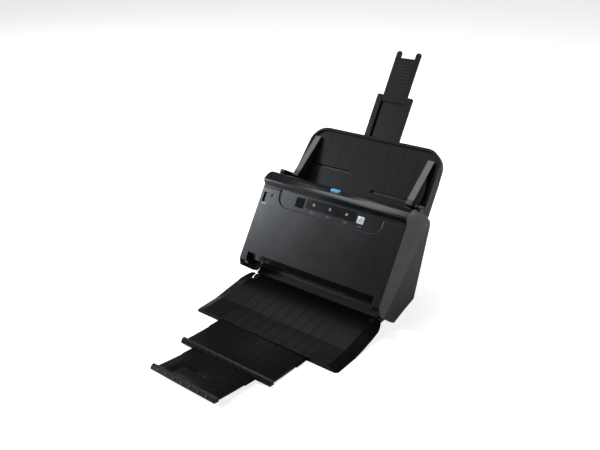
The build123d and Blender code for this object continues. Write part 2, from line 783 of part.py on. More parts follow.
def front_cover():
    """Hollow cover: sloping face, ridge, sunk control field and the cut-out over the paper exit."""
    with BuildPart() as cover:
        cover_prism(middle_points, -cutout_x, cutout_x, 0, Mode.ADD)
        cover_prism(strip_points, cutout_x, cover_x, 0, Mode.ADD)
        cover_prism(strip_points, -cover_x, -cutout_x, 0, Mode.ADD)
        cover_prism(middle_points, -cutout_x, cutout_x, cover_wall, Mode.SUBTRACT)
        partition = cutout_x + cover_wall
        for start, end in ((partition, cover_x - cover_wall), (cover_wall - cover_x, -partition)):
            cover_prism(strip_points, start, end, cover_wall, Mode.SUBTRACT)
            window_points = [(96, 150), (112, 150), (112, 168), (96, 168)]
            block(side(0), window_points, start, end, Mode.SUBTRACT)
        for start, end in ((cutout_x - edge_relief, cutout_x + 0.1), (-cutout_x - 0.1, edge_relief - cutout_x)):
            panel(face, (start, end), (-1, feed_up + 1), (-front_guide_depth - 1, -strip_back), 0, Mode.SUBTRACT)
        pad = (-field_depth - cover_wall, -cover_wall + 0.2)
        panel(face, (-field_half_width - 4, field_half_width + 4), (field_low - 4, face_length + 5), pad)
        for hand in (-1, 1):
            arm = sorted((hand * cutout_x, hand * cover_x))
            rod(cover_hinge, hinge_boss_radius, *arm)
            rod(cover_hinge, hinge_pin_radius + bush_gap, arm[0] - 0.1, arm[1] + 0.1, Mode.SUBTRACT)
            partition_span = sorted((hand * (cutout_x - 1), hand * (partition + 1)))
            rod(ridge_centre, latch_shaft_radius + bush_gap, *partition_span, Mode.SUBTRACT)
        control_field_cuts()
        lever_pocket()
        retard_window()
    return cover.part


# Controls on the field: limits across the face, and up it
display_across = (-67.5, -50.0)
display_up = (face_length - 17.7, face_length - 0.8)
display_seat = 3.4
keys_start = -46.0
key_pitch = 32.8
key_width = 31.6
keys_up = (face_length - 14.5, face_length + 1.0)
start_across = (56.5, 69.0)
start_up = (face_length - 15.0, face_length - 3.0)
power_place = (10.0 - cutout_x, face_length - 10.8)
power_radius = 2.5
key_proud = 0.7
key_gap = 0.3
key_travel = 1.0
power_travel = 1.0
board_near = 9.3
pad_back = field_depth + cover_wall


def key_limits(index):
    """Limits across the face of one of the three keys, counted from the left."""
    start = keys_start + index * key_pitch
    return start, start + key_width


def control_field_cuts():
    """Sink the control field, open into the groove, and cut the places of its controls."""
    with BuildSketch(face.offset(-field_depth)) as field:
        high = face_length + 4.0
        with Locations((0, (field_low + high) / 2)):
            Rectangle(2 * field_half_width, high - field_low)
        fillet(field.vertices().group_by(Axis.Y)[0], field_corner)
    extrude(field.sketch, amount=field_depth + 1, dir=face.z_dir, mode=Mode.SUBTRACT)
    through = (-field_depth - cover_wall - 1, 1)
    panel(face, display_across, display_up, (-display_seat, 1), 0.8, Mode.SUBTRACT)
    for index in range(3):
        panel(face, grown(key_limits(index), key_gap), grown(keys_up, key_gap), through, 0.8, Mode.SUBTRACT)
    panel(face, grown(start_across, key_gap), grown(start_up, key_gap), through, 1.2, Mode.SUBTRACT)
    with BuildSketch(face.offset(1)) as hole:
        with Locations(power_place):
            Circle(power_radius + key_gap)
    extrude(hole.sketch, amount=-cover_wall - 2, dir=face.z_dir, mode=Mode.SUBTRACT)


def display_window():
    """Clear window that lies in a shallow seat of the field."""
    with BuildPart() as window_plate:
        panel(face, display_across, display_up, (-display_seat, -field_depth + 0.3), 0.8)
    return window_plate.part


def key(across, up, corner):
    """Key with a flange behind the field and a plunger towards its switch."""
    with BuildPart() as cap:
        back = field_depth + cover_wall + slide_gap
        panel(face, across, up, (-back - 1, -field_depth + key_proud), corner)
        panel(face, grown(across, 0.5), (up[0] - 0.8, up[1] + 0.4), (-back - 1, -back))
        middle = ((across[0] + across[1]) / 2, (up[0] + up[1]) / 2)
        with BuildSketch(face.offset(-back)) as plunger:
            with Locations(middle):
                Circle(2)
        extrude(plunger.sketch, amount=-(board_near - back - key_travel - slide_gap), dir=face.z_dir)
    return cap.part


def power_button():
    """Round button in the slope at the upper left."""
    with BuildPart() as button:
        back = cover_wall + slide_gap
        for radius, near, far in ((power_radius, -0.6, back), (power_radius + 1.1, back, back + 1),
                                  (1.5, back + 1, board_near - power_travel - slide_gap)):
            with BuildSketch(face.offset(-near)) as disc:
                with Locations(power_place):
                    Circle(radius)
            extrude(disc.sketch, amount=near - far, dir=face.z_dir)
    return button.part


# Feed mode lever: its slot, and the carrier that hides the slot from behind
lever_slot_across = (-cutout_x - 7.5, -cutout_x + 4.0)
lever_slot_up = (face_length - 29.6, face_length - 7.9)
lever_across = (-cutout_x - 9.3, -cutout_x + 5.1)
lever_up = (lever_slot_up[0] - 14.4, lever_slot_up[1] + 1.1)
lever_travel = 12.0
lever_thickness = 1.6
lever_knob = 3.5


def lever_pocket():
    """Cut the lever's slot and, through the partition, the room its carrier slides in."""
    panel(face, lever_slot_across, lever_slot_up, (-cover_wall - 0.1, 1), 1, Mode.SUBTRACT)
    room = (lever_up[0] - 1, lever_up[1] + lever_travel + 1)
    panel(face, grown(lever_across, 0.4), room, (-cover_wall - lever_thickness - 2 * slide_gap, -cover_wall),
          0, Mode.SUBTRACT)
    centre = around(ridge_centre, ridge_radius, (lever_angles[0] + lever_angles[1] + release_range) / 2)
    with BuildSketch(Plane.XY.offset(ridge_centre[1] + ridge_radius + 3)) as oval:
        with Locations((0, face_foot_y + centre[0])):
            RectangleRounded(*lever_opening, lever_opening[1] / 2 - 0.5)
    extrude(oval.sketch, amount=-9, dir=(0, 0, 1), mode=Mode.SUBTRACT)


def retard_window():
    """Opening in the throat wall through which the retard roller shows."""
    half = retard_width / 2 + 1.5
    panel(face, (-half, half), (feed_up - retard_radius - 1.5, feed_up + retard_radius + 1.5),
          (-front_guide_depth - 2, -retard_depth + 1), 0, Mode.SUBTRACT)


def feed_mode_lever():
    """Slide with a small knob that stands in the slot."""
    with BuildPart() as lever:
        near = cover_wall + slide_gap
        panel(face, lever_across, lever_up, (-near - lever_thickness, -near), 1)
        low = lever_slot_up[0] + 2 * slide_gap
        panel(face, grown(lever_slot_across, -0.5), (low, low + lever_knob), (-near, slide_gap))
    return lever.part


def control_board():
    """Circuit board behind the controls, on four bosses, with a switch under each button."""
    with BuildPart() as board:
        panel(face, (power_place[0] - 5.5, start_across[1] + 6), (face_length - 32, face_length - 2),
              (-board_near - board_thickness, -board_near))
        left, right = power_place[0] + 6.5, start_across[1] + 3.5
        for x, up, near in ((left, -28, cover_wall), (left + 1.5, -5, cover_wall), (right, -27.5, pad_back),
                            (right + 0.5, -5, pad_back)):
            with BuildSketch(face.offset(-board_near)) as boss:
                with Locations((x, face_length + up)):
                    Circle(1.9)
            extrude(boss.sketch, amount=board_near - near, dir=face.z_dir)
    return board.part


# Release lever on the ridge, fixed to the latch shaft
lever_angles = (87.0, 103.0)
release_range = 10.0
lever_half = 9.5
lever_opening = (24.0, 13.4)
shutter_half = 13.5


def arc_band(inner, outer, angles, start, end, mode=Mode.ADD):
    """Curved plate about the ridge's centre, between two radii and two angles."""
    with BuildSketch(side(start)) as band:
        with Locations(ridge_centre):
            Circle(outer)
            Circle(inner, mode=Mode.SUBTRACT)
        middle = sum(angles) / 2
        fan = [around(ridge_centre, 2 * outer, angle) for angle in (angles[0], middle, angles[1])]
        Polygon(ridge_centre, *fan, align=None, mode=Mode.INTERSECT)
    extrude(band.sketch, amount=end - start, dir=(1, 0, 0), mode=mode)


def release_lever():
    """Finger piece on a curved shutter, with two arms down to the latch shaft."""
    with BuildPart() as lever:
        outer = ridge_radius - cover_wall - slide_gap
        shutter = (lever_angles[0] - 14, lever_angles[1] + 17)
        arc_band(outer - 1.2, outer, shutter, -shutter_half, shutter_half)
        centre = around(ridge_centre, ridge_radius, sum(lever_angles) / 2)
        with BuildSketch(Plane.XY.offset(ridge_centre[1] + outer - 1)) as piece:
            with Locations((0, face_foot_y + centre[0])):
                RectangleRounded(2 * lever_half, 7, 3.3)
        extrude(piece.sketch, amount=ridge_radius - outer + 1.6, dir=(0, 0, 1))
        fillet(lever.edges().group_by(Axis.Z)[-1], 0.8)
        for hand in (-1, 1):
            span = sorted((hand * 6, hand * 8))
            arc_band(latch_shaft_radius + fit_gap, outer - 0.6, (85, 99), *span)
            rod(ridge_centre, latch_shaft_radius + 2, *span)
            rod(ridge_centre, latch_shaft_radius + fit_gap, *span, Mode.SUBTRACT)
    return lever.part


def latch_shaft():
    """Round shaft through the ridge with a hook at each end that lies over its latch pin."""
    with BuildPart() as shaft:
        rod(ridge_centre, latch_shaft_radius, -hook_start - hook_width, hook_start + hook_width)
        low = latch_pin[1] + latch_pin_radius + slide_gap
        seat = low + hook_nose
        rear_end = latch_pin[0] + 4.5
        hook = [(ridge_centre[0], ridge_centre[1] + 5.5), (rear_end - 9, seat + 4.5), (rear_end, seat + 3),
                (rear_end, low), (rear_end - 1.9, low), (rear_end - 2.9, seat), (rear_end - 9, seat),
                (ridge_centre[0], ridge_centre[1] - 5.5)]
        for start in (hook_start, -hook_start - hook_width):
            rod(ridge_centre, 5.5, start, start + hook_width)
            block(side(0), hook, start, start + hook_width)
    return shaft.part


def ear(up, depth, start, end):
    """Ear behind the front guide plate with the bore of a pinch roller's shaft."""
    back = front_guide_depth - guide_thickness
    with BuildSketch(side(start)) as outline:
        Polygon(behind(up - 6, back), behind(up - 3.5, depth - 4.5), behind(up + 3.5, depth - 4.5),
                behind(min(up + 6, feed_up - 4), back), align=None)
    extrude(outline.sketch, amount=end - start, dir=(1, 0, 0))


def front_guide_plate():
    """Front wall of the paper path with the ears of its pinch rollers."""
    with BuildPart() as guide:
        back = front_guide_depth - guide_thickness
        low = cutout_roof + cover_wall
        panel(face, (-cutout_x, cutout_x), (low, feed_up - 3), (-front_guide_depth, -back))
        near, far = back - 1, front_guide_depth + 1
        tyre_windows(registration_up, near, far)
        tyre_windows(eject_up, near, far)
        window((front_scan_up[0] - 2, front_scan_up[1] + 2), scan_half_width + window_gap, near, far)
        window((feed_up - retard_radius - 1.5, feed_up), retard_width / 2 + 1.5, near, far)
        for up, depth, spans in ((registration_up, idler_depth, tyre_spans),
                                 (eject_up, idler_depth, tyre_spans), (feed_up, retard_depth, retard_spans)):
            reach = spans[-1][1]
            for start in (reach + 1.6, -reach - 4.1):
                ear(up, depth, start, start + 2.5)
                rod(behind(up, depth), thin_shaft_radius + bush_gap, start - 0.1, start + 2.6, Mode.SUBTRACT)
    return guide.part


# Feed tray, drawn on its own plane: x across, then along the tray, then above its surface
tray_low = 4.0
tray_high = 142.6
tray_low_half = tray_ear_end - 2.0
tray_high_half = tray_low_half - 6.5
tray_corner = 31.0
tray_rim = 4.5
rim_height = 3.0
tray_split = -9.0
tray_wall = 2.5
tray_back = [(14.0, -16.0), (40.0, -20.0), (90.0, -18.0), (130.0, -13.0)]
tray_ear_half = 4.0
tray_ear_foot = 10.0

# Document guides: racks under the tray's surface, one pinion between them
pinion_along = 60.0
pinion_teeth = 16
pinion_pitch = gear_module * pinion_teeth / 2
rack_levels = (-7.0, -3.2)
rack_back = 4.0
slot_offset = pinion_pitch + 3.6
slot_width = 5.0
guide_inner = scan_half_width - 7.5
guide_wall = 2.0
guide_travel = 80.0
guide_flange = 9.0
guide_floor = 0.4
guide_foot = 2.0
guide_low = 36.0
guide_high = 122.0
guide_top_low = 25.0
guide_top_high = 5.3
guide_flat = 2.0
stem_width = 4.0

# Feed extension: it rises behind the tray's upper edge on a steeper plane
extension_foot = (221.8, 240.0)
extension_slope = 58.0
spine_half = 42.0
spine_along = (-92.0, -4.0)
spine_levels = (-7.0, 2.0)
extension_half = 35.0
extension_along = (-14.0, 76.0)
extension_thickness = 4.4
extension_travel = 72.0
tip_half = 24.0
tip_along = (64.0, 157.0)
tip_levels = (-2.9, -0.3)
tip_tongue = 2.0

extension = sloping(extension_foot, extension_slope)


def on_tray(along, height):
    """Side point on the feed tray's own axes."""
    slope = radians(tray_slope)
    return (tray_foot[0] + along * cos(slope) - height * sin(slope),
            tray_foot[1] + along * sin(slope) + height * cos(slope))


def tray_plan(level, inset=0.0, open_low=False):
    """Sketch the tray's plan: tapering sides and round upper corners, drawn in by the inset."""
    low = tray_low - 5 if open_low else tray_low + inset
    with BuildSketch(tray.offset(level)) as plan:
        Polygon((inset - tray_low_half, low), (tray_low_half - inset, low),
                (tray_high_half - inset, tray_high - inset), (inset - tray_high_half, tray_high - inset),
                align=None)
        fillet(plan.vertices().group_by(Axis.Y)[-1], tray_corner - inset)
    return plan.sketch


def feed_tray():
    """Front half of the feed tray: bed, raised rims, hinge ears and the slots of the guides."""
    with BuildPart() as half:
        extrude(tray_plan(tray_split), amount=rim_height - tray_split, dir=tray.z_dir)
        extrude(tray_plan(0, tray_rim, True), amount=rim_height + 1, dir=tray.z_dir, mode=Mode.SUBTRACT)
        extrude(tray_plan(tray_split, tray_wall), amount=-tray_split - tray_wall, dir=tray.z_dir,
                mode=Mode.SUBTRACT)
        ear_outline = [on_tray(*point) for point in (
            (tray_pivot_along - tray_ear_foot, -2), (tray_pivot_along - tray_ear_half, tray_pivot_height),
            (tray_pivot_along + tray_ear_half, tray_pivot_height), (tray_pivot_along + tray_ear_foot, -2))]
        for start, end in ((tray_ear_start, tray_ear_end), (-tray_ear_end, -tray_ear_start)):
            block(side(0), ear_outline, start, end)
            rod(tray_pivot, tray_ear_half, start, end)
            rod(tray_pivot, tray_pin_radius + bush_gap, start - 0.1, end + 0.1, Mode.SUBTRACT)
        outer = guide_inner + 6
        for hand, along in ((-1, pinion_along + slot_offset), (1, pinion_along - slot_offset)):
            limits = sorted((hand * outer, hand * (guide_inner - guide_travel - 2)))
            sides = (along - slot_width / 2, along + slot_width / 2)
            panel(tray, limits, sides, (-tray_wall - 1, 1), 2, Mode.SUBTRACT)
        with BuildSketch(tray.offset(-tray_wall)) as post:
            with Locations((0, pinion_along)):
                Circle(2.5)
        extrude(post.sketch, amount=rack_levels[0] + tray_wall - 0.6, dir=tray.z_dir)
        panel(extension, (-spine_half - 0.2, spine_half + 0.2), (spine_along[0] - 4, 6),
              (spine_levels[0] - 3, spine_levels[1] + 0.1), 0, Mode.SUBTRACT)
    return half.part


def feed_tray_back():
    """Back half of the feed tray: a bowed shell with a slot for the extension's sleeve."""
    with BuildPart() as half:
        back = [on_tray(*point) for point in
                ((tray_low, tray_split), (tray_low, tray_split - 1), *tray_back, (tray_high, tray_split))]
        block(side(0), back, -tray_low_half, tray_low_half)
        extrude(tray_plan(tray_split - 20), amount=20, dir=tray.z_dir, mode=Mode.INTERSECT)
        inside = [on_tray(along, height + tray_wall) for along, height in
                  ((tray_low + 6, tray_split - 4), *tray_back, (tray_high - 6, tray_split - 3.5))]
        inside += [on_tray(tray_high - 6, tray_split + 5), on_tray(tray_low + 6, tray_split + 5)]
        block(side(0), inside, -tray_high_half + tray_wall + 8, tray_high_half - tray_wall - 8, Mode.SUBTRACT)
        panel(extension, (-spine_half, spine_half), (spine_along[0], 1), spine_levels, 0, Mode.SUBTRACT)
    return half.part


def extension_channel():
    """Flat sleeve in the back half's slot, through which the extension slides."""
    with BuildPart() as sleeve:
        panel(extension, (-spine_half, spine_half), spine_along, spine_levels)
        panel(extension, (-extension_half - slide_gap, extension_half + slide_gap),
              (extension_along[0] - extension_travel - 1, spine_along[1] + 1),
              (-extension_thickness - slide_gap, slide_gap), 0, Mode.SUBTRACT)
    return sleeve.part


def rack_teeth(hand):
    """Sketch the row of rack teeth of one guide; the gap at x = 0 takes a pinion tooth."""
    pitch_line = pinion_along - hand * pinion_pitch
    step = pi * gear_module
    first = -hand * 2.5 * step
    for tooth in range(30):
        x = first + hand * tooth * step
        tip, root = pitch_line + hand * 0.85, pitch_line - hand * 1.3
        Polygon((x - 1.15, root), (x - 0.42, tip), (x + 0.42, tip), (x + 1.15, root), align=None)


def document_guide(hand):
    """Wedge shaped guide of one hand with its top flange, sliding foot and rack."""
    with BuildPart() as guide:
        wall_start = guide_inner if hand > 0 else -guide_inner - guide_wall
        top_line = [(guide_low, guide_top_low), (guide_low + guide_flat, guide_top_low),
                    (guide_high, guide_top_high)]
        wall = [(guide_low, guide_floor), *top_line, (guide_high, guide_floor)]
        block(side(0), [on_tray(*point) for point in wall], wall_start, wall_start + guide_wall)
        flange = [*top_line, (guide_high, guide_top_high - guide_wall),
                  (guide_low + 5, guide_top_low - guide_wall - 0.7), (guide_low + 4, guide_top_low - 8),
                  (guide_low, guide_top_low - 8)]
        inner = guide_inner + guide_wall
        flange_x = sorted((hand * inner, hand * (inner + guide_flange)))
        block(side(0), [on_tray(*point) for point in flange], *flange_x)
        with BuildSketch(tray.offset(guide_floor)) as foot:
            with BuildLine():
                outer = hand * (guide_inner + 12.5)
                Line((hand * guide_inner, guide_low + 6), (hand * (guide_inner + 9.5), guide_low + 6))
                ThreePointArc((hand * (guide_inner + 9.5), guide_low + 6), (outer, guide_low + 28),
                              (hand * (guide_inner + 3.5), guide_low + 63))
                Polyline((hand * (guide_inner + 3.5), guide_low + 63), (hand * guide_inner, guide_low + 63),
                         (hand * guide_inner, guide_low + 6))
            make_face()
        extrude(foot.sketch, amount=guide_foot, dir=tray.z_dir)
        along = pinion_along - hand * slot_offset
        stem_x = sorted((hand * guide_inner, hand * (guide_inner + 4)))
        panel(tray, stem_x, (along - stem_width / 2, along + stem_width / 2), (rack_levels[0], guide_floor))
        bar_edge = pinion_along - hand * (pinion_pitch + 1.25)
        bar = sorted((bar_edge, bar_edge - hand * rack_back))
        bar_x = sorted((-hand * 9, hand * (guide_inner + 4)))
        panel(tray, bar_x, bar, rack_levels)
        with BuildSketch(tray.offset(rack_levels[0])) as teeth:
            rack_teeth(hand)
        extrude(teeth.sketch, amount=rack_levels[1] - rack_levels[0], dir=tray.z_dir)
    return guide.part


def guide_pinion():
    """Pinion between the two racks, on the post under the tray's bed."""
    with BuildPart() as pinion:
        with BuildSketch(tray.offset(rack_levels[0])) as rim:
            with Locations((0, pinion_along)):
                gear_profile(pinion_teeth, 90)
                Circle(2.6, mode=Mode.SUBTRACT)
        extrude(rim.sketch, amount=rack_levels[1] - rack_levels[0], dir=tray.z_dir)
    return pinion.part


def feed_extension():
    """First stage of the extension with the grooved channel of its tip."""
    with BuildPart() as stage:
        panel(extension, (-extension_half, extension_half), extension_along, (-extension_thickness, 0), 2)
        low = tip_along[0] - extension_travel - 1
        high = extension_along[1] + 1
        panel(extension, (-tip_half - slide_gap, tip_half + slide_gap), (low, high),
              (tip_levels[0] - slide_gap, 1), 0, Mode.SUBTRACT)
        wide = tip_half + tip_tongue + slide_gap
        panel(extension, (-wide, wide), (low, high), (tip_levels[0] - slide_gap, tip_levels[0] + 1.6), 0,
              Mode.SUBTRACT)
    return stage.part


def feed_extension_tip():
    """Last stage of the extension: it ends in two rounded ears."""
    with BuildPart() as tip:
        with BuildSketch(extension.offset(tip_levels[0])) as plan:
            with Locations((0, (tip_along[0] + tip_along[1]) / 2)):
                Rectangle(2 * tip_half, tip_along[1] - tip_along[0])
            with Locations((0, tip_along[1])):
                Rectangle(2 * tip_half - 20, 24, mode=Mode.SUBTRACT)
            fillet(plan.vertices().group_by(Axis.Y)[-1], 4.6)
        extrude(plan.sketch, amount=tip_levels[1] - tip_levels[0], dir=extension.z_dir)
        tongue_levels = (tip_levels[0], tip_levels[0] + 1.3)
        wide = tip_half + tip_tongue
        panel(extension, (-wide, wide), (tip_along[0], tip_along[0] + 10), tongue_levels)
    return tip.part


# Eject tray and its two extensions, which slide on an arc about one high centre
arc_centre = (-110.0, 933.0)
eject_half = cap_outer_x - 3.0
eject_front = -110.0
eject_top = [(-110.0, 7.8), (-64.0, 8.9), (-10.0, 16.5), (21.0, 20.6)]
eject_under = [(-110.0, 0.0), (-62.0, 0.0), (-43.0, 2.5), (-18.0, 8.0), (4.0, 14.0), (21.0, 18.6)]
bevel_width = [17.0, 17.0, 19.0, 22.0]
bevel_drop = [7.4, 7.0, 6.0, 3.0]
corner_notch = (18.0, 31.0)
skin_half = eject_half - 52.0
skin_drop = 1.5
skin_end = -55.0
second_half = eject_half - 56.6
second_span = (-194.0, -98.0)
second_levels = (0.5, 4.6)
second_tongue = 2.8
second_lip_half = second_half + 2.6
second_travel = 75.0
third_half = second_half - 25.8
third_span = (-276.0, -180.0)
third_levels = (0.9, 3.4)
third_tongue = 2.4
third_travel = 67.5
lip_length = 8.5
stopper_half = 34.0
stopper_span = (-265.2, -240.0)
stopper_pin_radius = 0.8


def on_arc(y, level):
    """Side point at y on the arc that lies this level above the lowest one."""
    radius = arc_centre[1] - level
    return y, arc_centre[1] - (radius**2 - (y - arc_centre[0])**2) ** 0.5


def arc_plate(half, span, levels, mode=Mode.ADD):
    """Curved plate across the machine, between two places along y and two levels of the arc."""
    middle = sum(span) / 2
    with BuildSketch(side(-half)) as profile:
        with BuildLine():
            ThreePointArc(on_arc(span[0], levels[0]), on_arc(middle, levels[0]), on_arc(span[1], levels[0]))
            Line(on_arc(span[1], levels[0]), on_arc(span[1], levels[1]))
            ThreePointArc(on_arc(span[1], levels[1]), on_arc(middle, levels[1]), on_arc(span[0], levels[1]))
            Line(on_arc(span[0], levels[1]), on_arc(span[0], levels[0]))
        make_face()
    extrude(profile.sketch, amount=2 * half, dir=(1, 0, 0), mode=mode)


def eject_tray():
    """Fixed stage: bevelled sides, a shallow middle step and the arched channel below."""
    with BuildPart() as stage:
        block(side(0), eject_under + eject_top[::-1], -eject_half, eject_half)
        fillet(stage.edges().filter_by(Axis.Z).group_by(Axis.Y)[0], 7)
        for hand in (1, -1):
            for (y, top), width, drop in zip(eject_top, bevel_width, bevel_drop):
                inner = eject_half - width
                station = y - 2 if y == eject_front else y + 2 if y == eject_top[-1][0] else y
                with BuildSketch(Plane(origin=(0, face_foot_y + station, 0), x_dir=(hand, 0, 0),
                                       z_dir=(0, -hand, 0))):
                    Polygon((inner, top), (eject_half + 1, top - drop), (eject_half + 1, top + 3),
                            (inner, top + 3), align=None)
            loft(ruled=True, mode=Mode.SUBTRACT)
        skin_top = eject_top[0][1] - skin_drop
        block(side(0), [(eject_front - 1, skin_top), (skin_end, 10.3), (eject_front - 1, 12)],
              -skin_half, skin_half, Mode.SUBTRACT)
        room = (eject_front - 1, second_span[1] + second_travel + 3)
        arc_plate(second_half + slide_gap, room, (-6, second_levels[1] + slide_gap), Mode.SUBTRACT)
        arc_plate(second_half + second_tongue + slide_gap, room, (1.2, 3.6), Mode.SUBTRACT)
        for hand in (1, -1):
            notch = sorted(hand * (eject_half - inset) for inset in corner_notch)
            block(side(0), [(6, 4), (22, 4), (22, 30), (6, 30)], *notch, Mode.SUBTRACT)
    return stage.part


def raised_lip(half, front, bottom, height):
    """Upturned lip along the front end of an extension."""
    foot = on_arc(front, bottom)
    back = on_arc(front + lip_length, bottom)
    crest = back[1] + height
    block(side(0), [foot, back, (back[0], crest - 1.5), (back[0] - 1.8, crest), (front + 3.2, crest - 0.8),
                    (front, foot[1] + 2.4)], -half, half)


def eject_extension():
    """Second stage: curved plate with side tongues, a raised lip and the channel of the third."""
    with BuildPart() as stage:
        arc_plate(second_half, second_span, second_levels)
        arc_plate(second_half + second_tongue, (second_span[0] + 60, second_span[1]), (1.5, 3.3))
        raised_lip(second_lip_half, second_span[0], second_levels[0], 8.5)
        room = (second_span[0] - 1, third_span[1] + third_travel + 2)
        arc_plate(third_half + slide_gap, room, (-3, third_levels[1] + slide_gap), Mode.SUBTRACT)
        arc_plate(third_half + third_tongue + slide_gap, room, (1.3, 2.9), Mode.SUBTRACT)
    return stage.part


def eject_extension_tip():
    """Third stage: it ends in a raised lip and carries the paper stopper in a flush recess."""
    with BuildPart() as stage:
        arc_plate(third_half, third_span, third_levels)
        arc_plate(third_half + third_tongue, (third_span[0] + 60, third_span[1]), (1.6, 2.6))
        raised_lip(third_half + third_tongue, third_span[0], third_levels[0], 8.0)
        recess = (stopper_span[0] - 1.2, stopper_span[1] + 0.5)
        arc_plate(stopper_half + slide_gap, recess, (-3, 8), Mode.SUBTRACT)
        arc_plate(12, (stopper_span[1], stopper_span[1] + 9), (third_levels[1] - 1.2, 8), Mode.SUBTRACT)
        reach = stopper_half + 2.5
        rod(stopper_axis(), stopper_pin_radius + bush_gap, -reach, reach, Mode.SUBTRACT)
    return stage.part


def stopper_axis():
    """Side point of the stopper's hinge, near its front edge."""
    return on_arc(stopper_span[0] + 1.1, third_levels[1] - 1.25)


def paper_stopper():
    """Flap that lies flush in the last stage and turns up about its front edge."""
    with BuildPart() as flap:
        levels = (third_levels[1] - 2.35, third_levels[1] - 0.15)
        arc_plate(stopper_half, (stopper_axis()[0], stopper_span[1]), levels)
        rod(stopper_axis(), 1.1, -stopper_half, stopper_half)
        rod(stopper_axis(), stopper_pin_radius, -stopper_half - 2, stopper_half + 2)
    return flap.part


nodes = {
    "base_pan": base_pan,
    "rubber_feet": rubber_feet,
    "rear_shell": rear_shell,
    "side_cap_right": side_cap,
    "side_cap_left": lambda: mirror(side_cap(), about=Plane.YZ),
    "side_frames": side_frames,
    "shaft_bushes": shaft_bushes,
    "case_screws": case_screws,
    "cover_hinge_pins": cover_hinge_pins,
    "tray_hinge_pins": tray_hinge_pins,
    "latch_pins": latch_pins,
    "rear_guide_plate": rear_guide_plate,
    "rear_scan_unit": lambda: scan_unit(rear_scan_up, rear_guide_depth, 1),
    "rear_scan_glass": lambda: scan_glass(rear_scan_up, rear_guide_depth, 1),
    "drive_motor": drive_motor,
    "motor_pulley": motor_pulley,
    "drive_belt": drive_belt,
    "idler_stud": idler_stud,
    "idler_gear": idler_gear,
    "feed_shaft": feed_shaft,
    "feed_roller": feed_roller,
    "feed_gear": feed_gear,
    "registration_shaft": lambda: long_shaft(registration_axis, pulley_end),
    "registration_rollers": lambda: driven_tyres(registration_axis),
    "registration_gear": registration_gear,
    "eject_shaft": lambda: long_shaft(eject_axis, pulley_end),
    "eject_rollers": lambda: driven_tyres(eject_axis),
    "eject_pulley": eject_pulley,
    "main_board": main_board,
    "power_inlet": power_inlet,
    "data_port": data_port,
    "front_cover": front_cover,
    "front_guide_plate": front_guide_plate,
    "front_scan_unit": lambda: scan_unit(front_scan_up, front_guide_depth, -1),
    "front_scan_glass": lambda: scan_glass(front_scan_up, front_guide_depth, -1),
    "control_board": control_board,
    "display_window": display_window,
    "retard_roller": lambda: pinch_rollers(retard_axis, retard_radius, retard_spans),
    "registration_idlers": lambda: pinch_rollers(registration_idler_axis, idler_radius, tyre_spans),
    "eject_idlers": lambda: pinch_rollers(eject_idler_axis, idler_radius, tyre_spans),
    "power_button": power_button,
    "key_left": lambda: key(key_limits(0), keys_up, 0.8),
    "key_middle": lambda: key(key_limits(1), keys_up, 0.8),
    "key_right": lambda: key(key_limits(2), keys_up, 0.8),
    "start_key": lambda: key(start_across, start_up, 1.2),
    "feed_mode_lever": feed_mode_lever,
    "release_lever": release_lever,
    "latch_shaft": latch_shaft,
    "feed_tray": feed_tray,
    "feed_tray_back": feed_tray_back,
    "extension_channel": extension_channel,
    "guide_left": lambda: document_guide(-1),
    "guide_right": lambda: document_guide(1),
    "guide_pinion": guide_pinion,
    "feed_extension": feed_extension,
    "feed_extension_tip": feed_extension_tip,
    "eject_tray": eject_tray,
    "eject_extension": eject_extension,
    "eject_extension_tip": eject_extension_tip,
    "paper_stopper": paper_stopper,
}

for name, make in nodes.items():
    solid = make()
    solid.label = name
    export_step(solid, f"parts/{name}.step")
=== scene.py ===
# %% [markdown]
# # A desktop document scanner
# The object is a sheet-fed scanner in black and charcoal plastic. Its shells, trays and rollers arrive
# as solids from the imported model. This lesson gives them their finishes, adds the thin details that
# a solid model leaves out, and sets the light and the camera.

import math

import bmesh
import bpy
import numpy as np
from mathutils import Matrix, Vector


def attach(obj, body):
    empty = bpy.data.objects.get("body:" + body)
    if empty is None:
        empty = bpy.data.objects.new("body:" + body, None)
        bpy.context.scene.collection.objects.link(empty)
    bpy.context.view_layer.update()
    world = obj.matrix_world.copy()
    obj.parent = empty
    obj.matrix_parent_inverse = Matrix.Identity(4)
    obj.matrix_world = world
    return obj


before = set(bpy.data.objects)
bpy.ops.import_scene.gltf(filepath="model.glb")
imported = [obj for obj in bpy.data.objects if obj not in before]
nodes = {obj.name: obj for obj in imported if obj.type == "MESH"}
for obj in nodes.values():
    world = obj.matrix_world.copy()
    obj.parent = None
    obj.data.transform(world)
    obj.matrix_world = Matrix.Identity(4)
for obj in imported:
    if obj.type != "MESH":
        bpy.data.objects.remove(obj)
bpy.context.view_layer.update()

# %% [markdown]
# Every place below is worked out from the same few lines of the side view as the solids: the foot of
# the sloping face, its lean, and the planes of the feed tray and its extension. A point is given by
# how far it lies across, how far up the plane, and how far out of it, all in millimetres.

# %% The planes that the details sit on
MM = 0.001
Y_SHIFT = -16.5
FACE_FOOT = (0.0, 54.0)
FACE_SLOPE = math.radians(58.0)
TRAY_FOOT = (118.0, 132.0)
TRAY_SLOPE = math.radians(50.0)
EXTENSION_FOOT = (221.8, 240.0)
EXTENSION_SLOPE = math.radians(58.0)
REAR_FOOT = (100.5, 24.0)
REAR_SLOPE = math.radians(70.6)


def plane_point(foot, slope, across, up, out, hand=1):
    """Point in metres: foot of the plane, plus up along its slope, plus out along its normal."""
    across, up, out = np.broadcast_arrays(*(np.asarray(value, float) for value in (across, up, out)))
    y = foot[0] + Y_SHIFT + up * math.cos(slope) - hand * out * math.sin(slope)
    z = foot[1] + up * math.sin(slope) + hand * out * math.cos(slope)
    return np.stack([hand * across, y, z], axis=-1) * MM


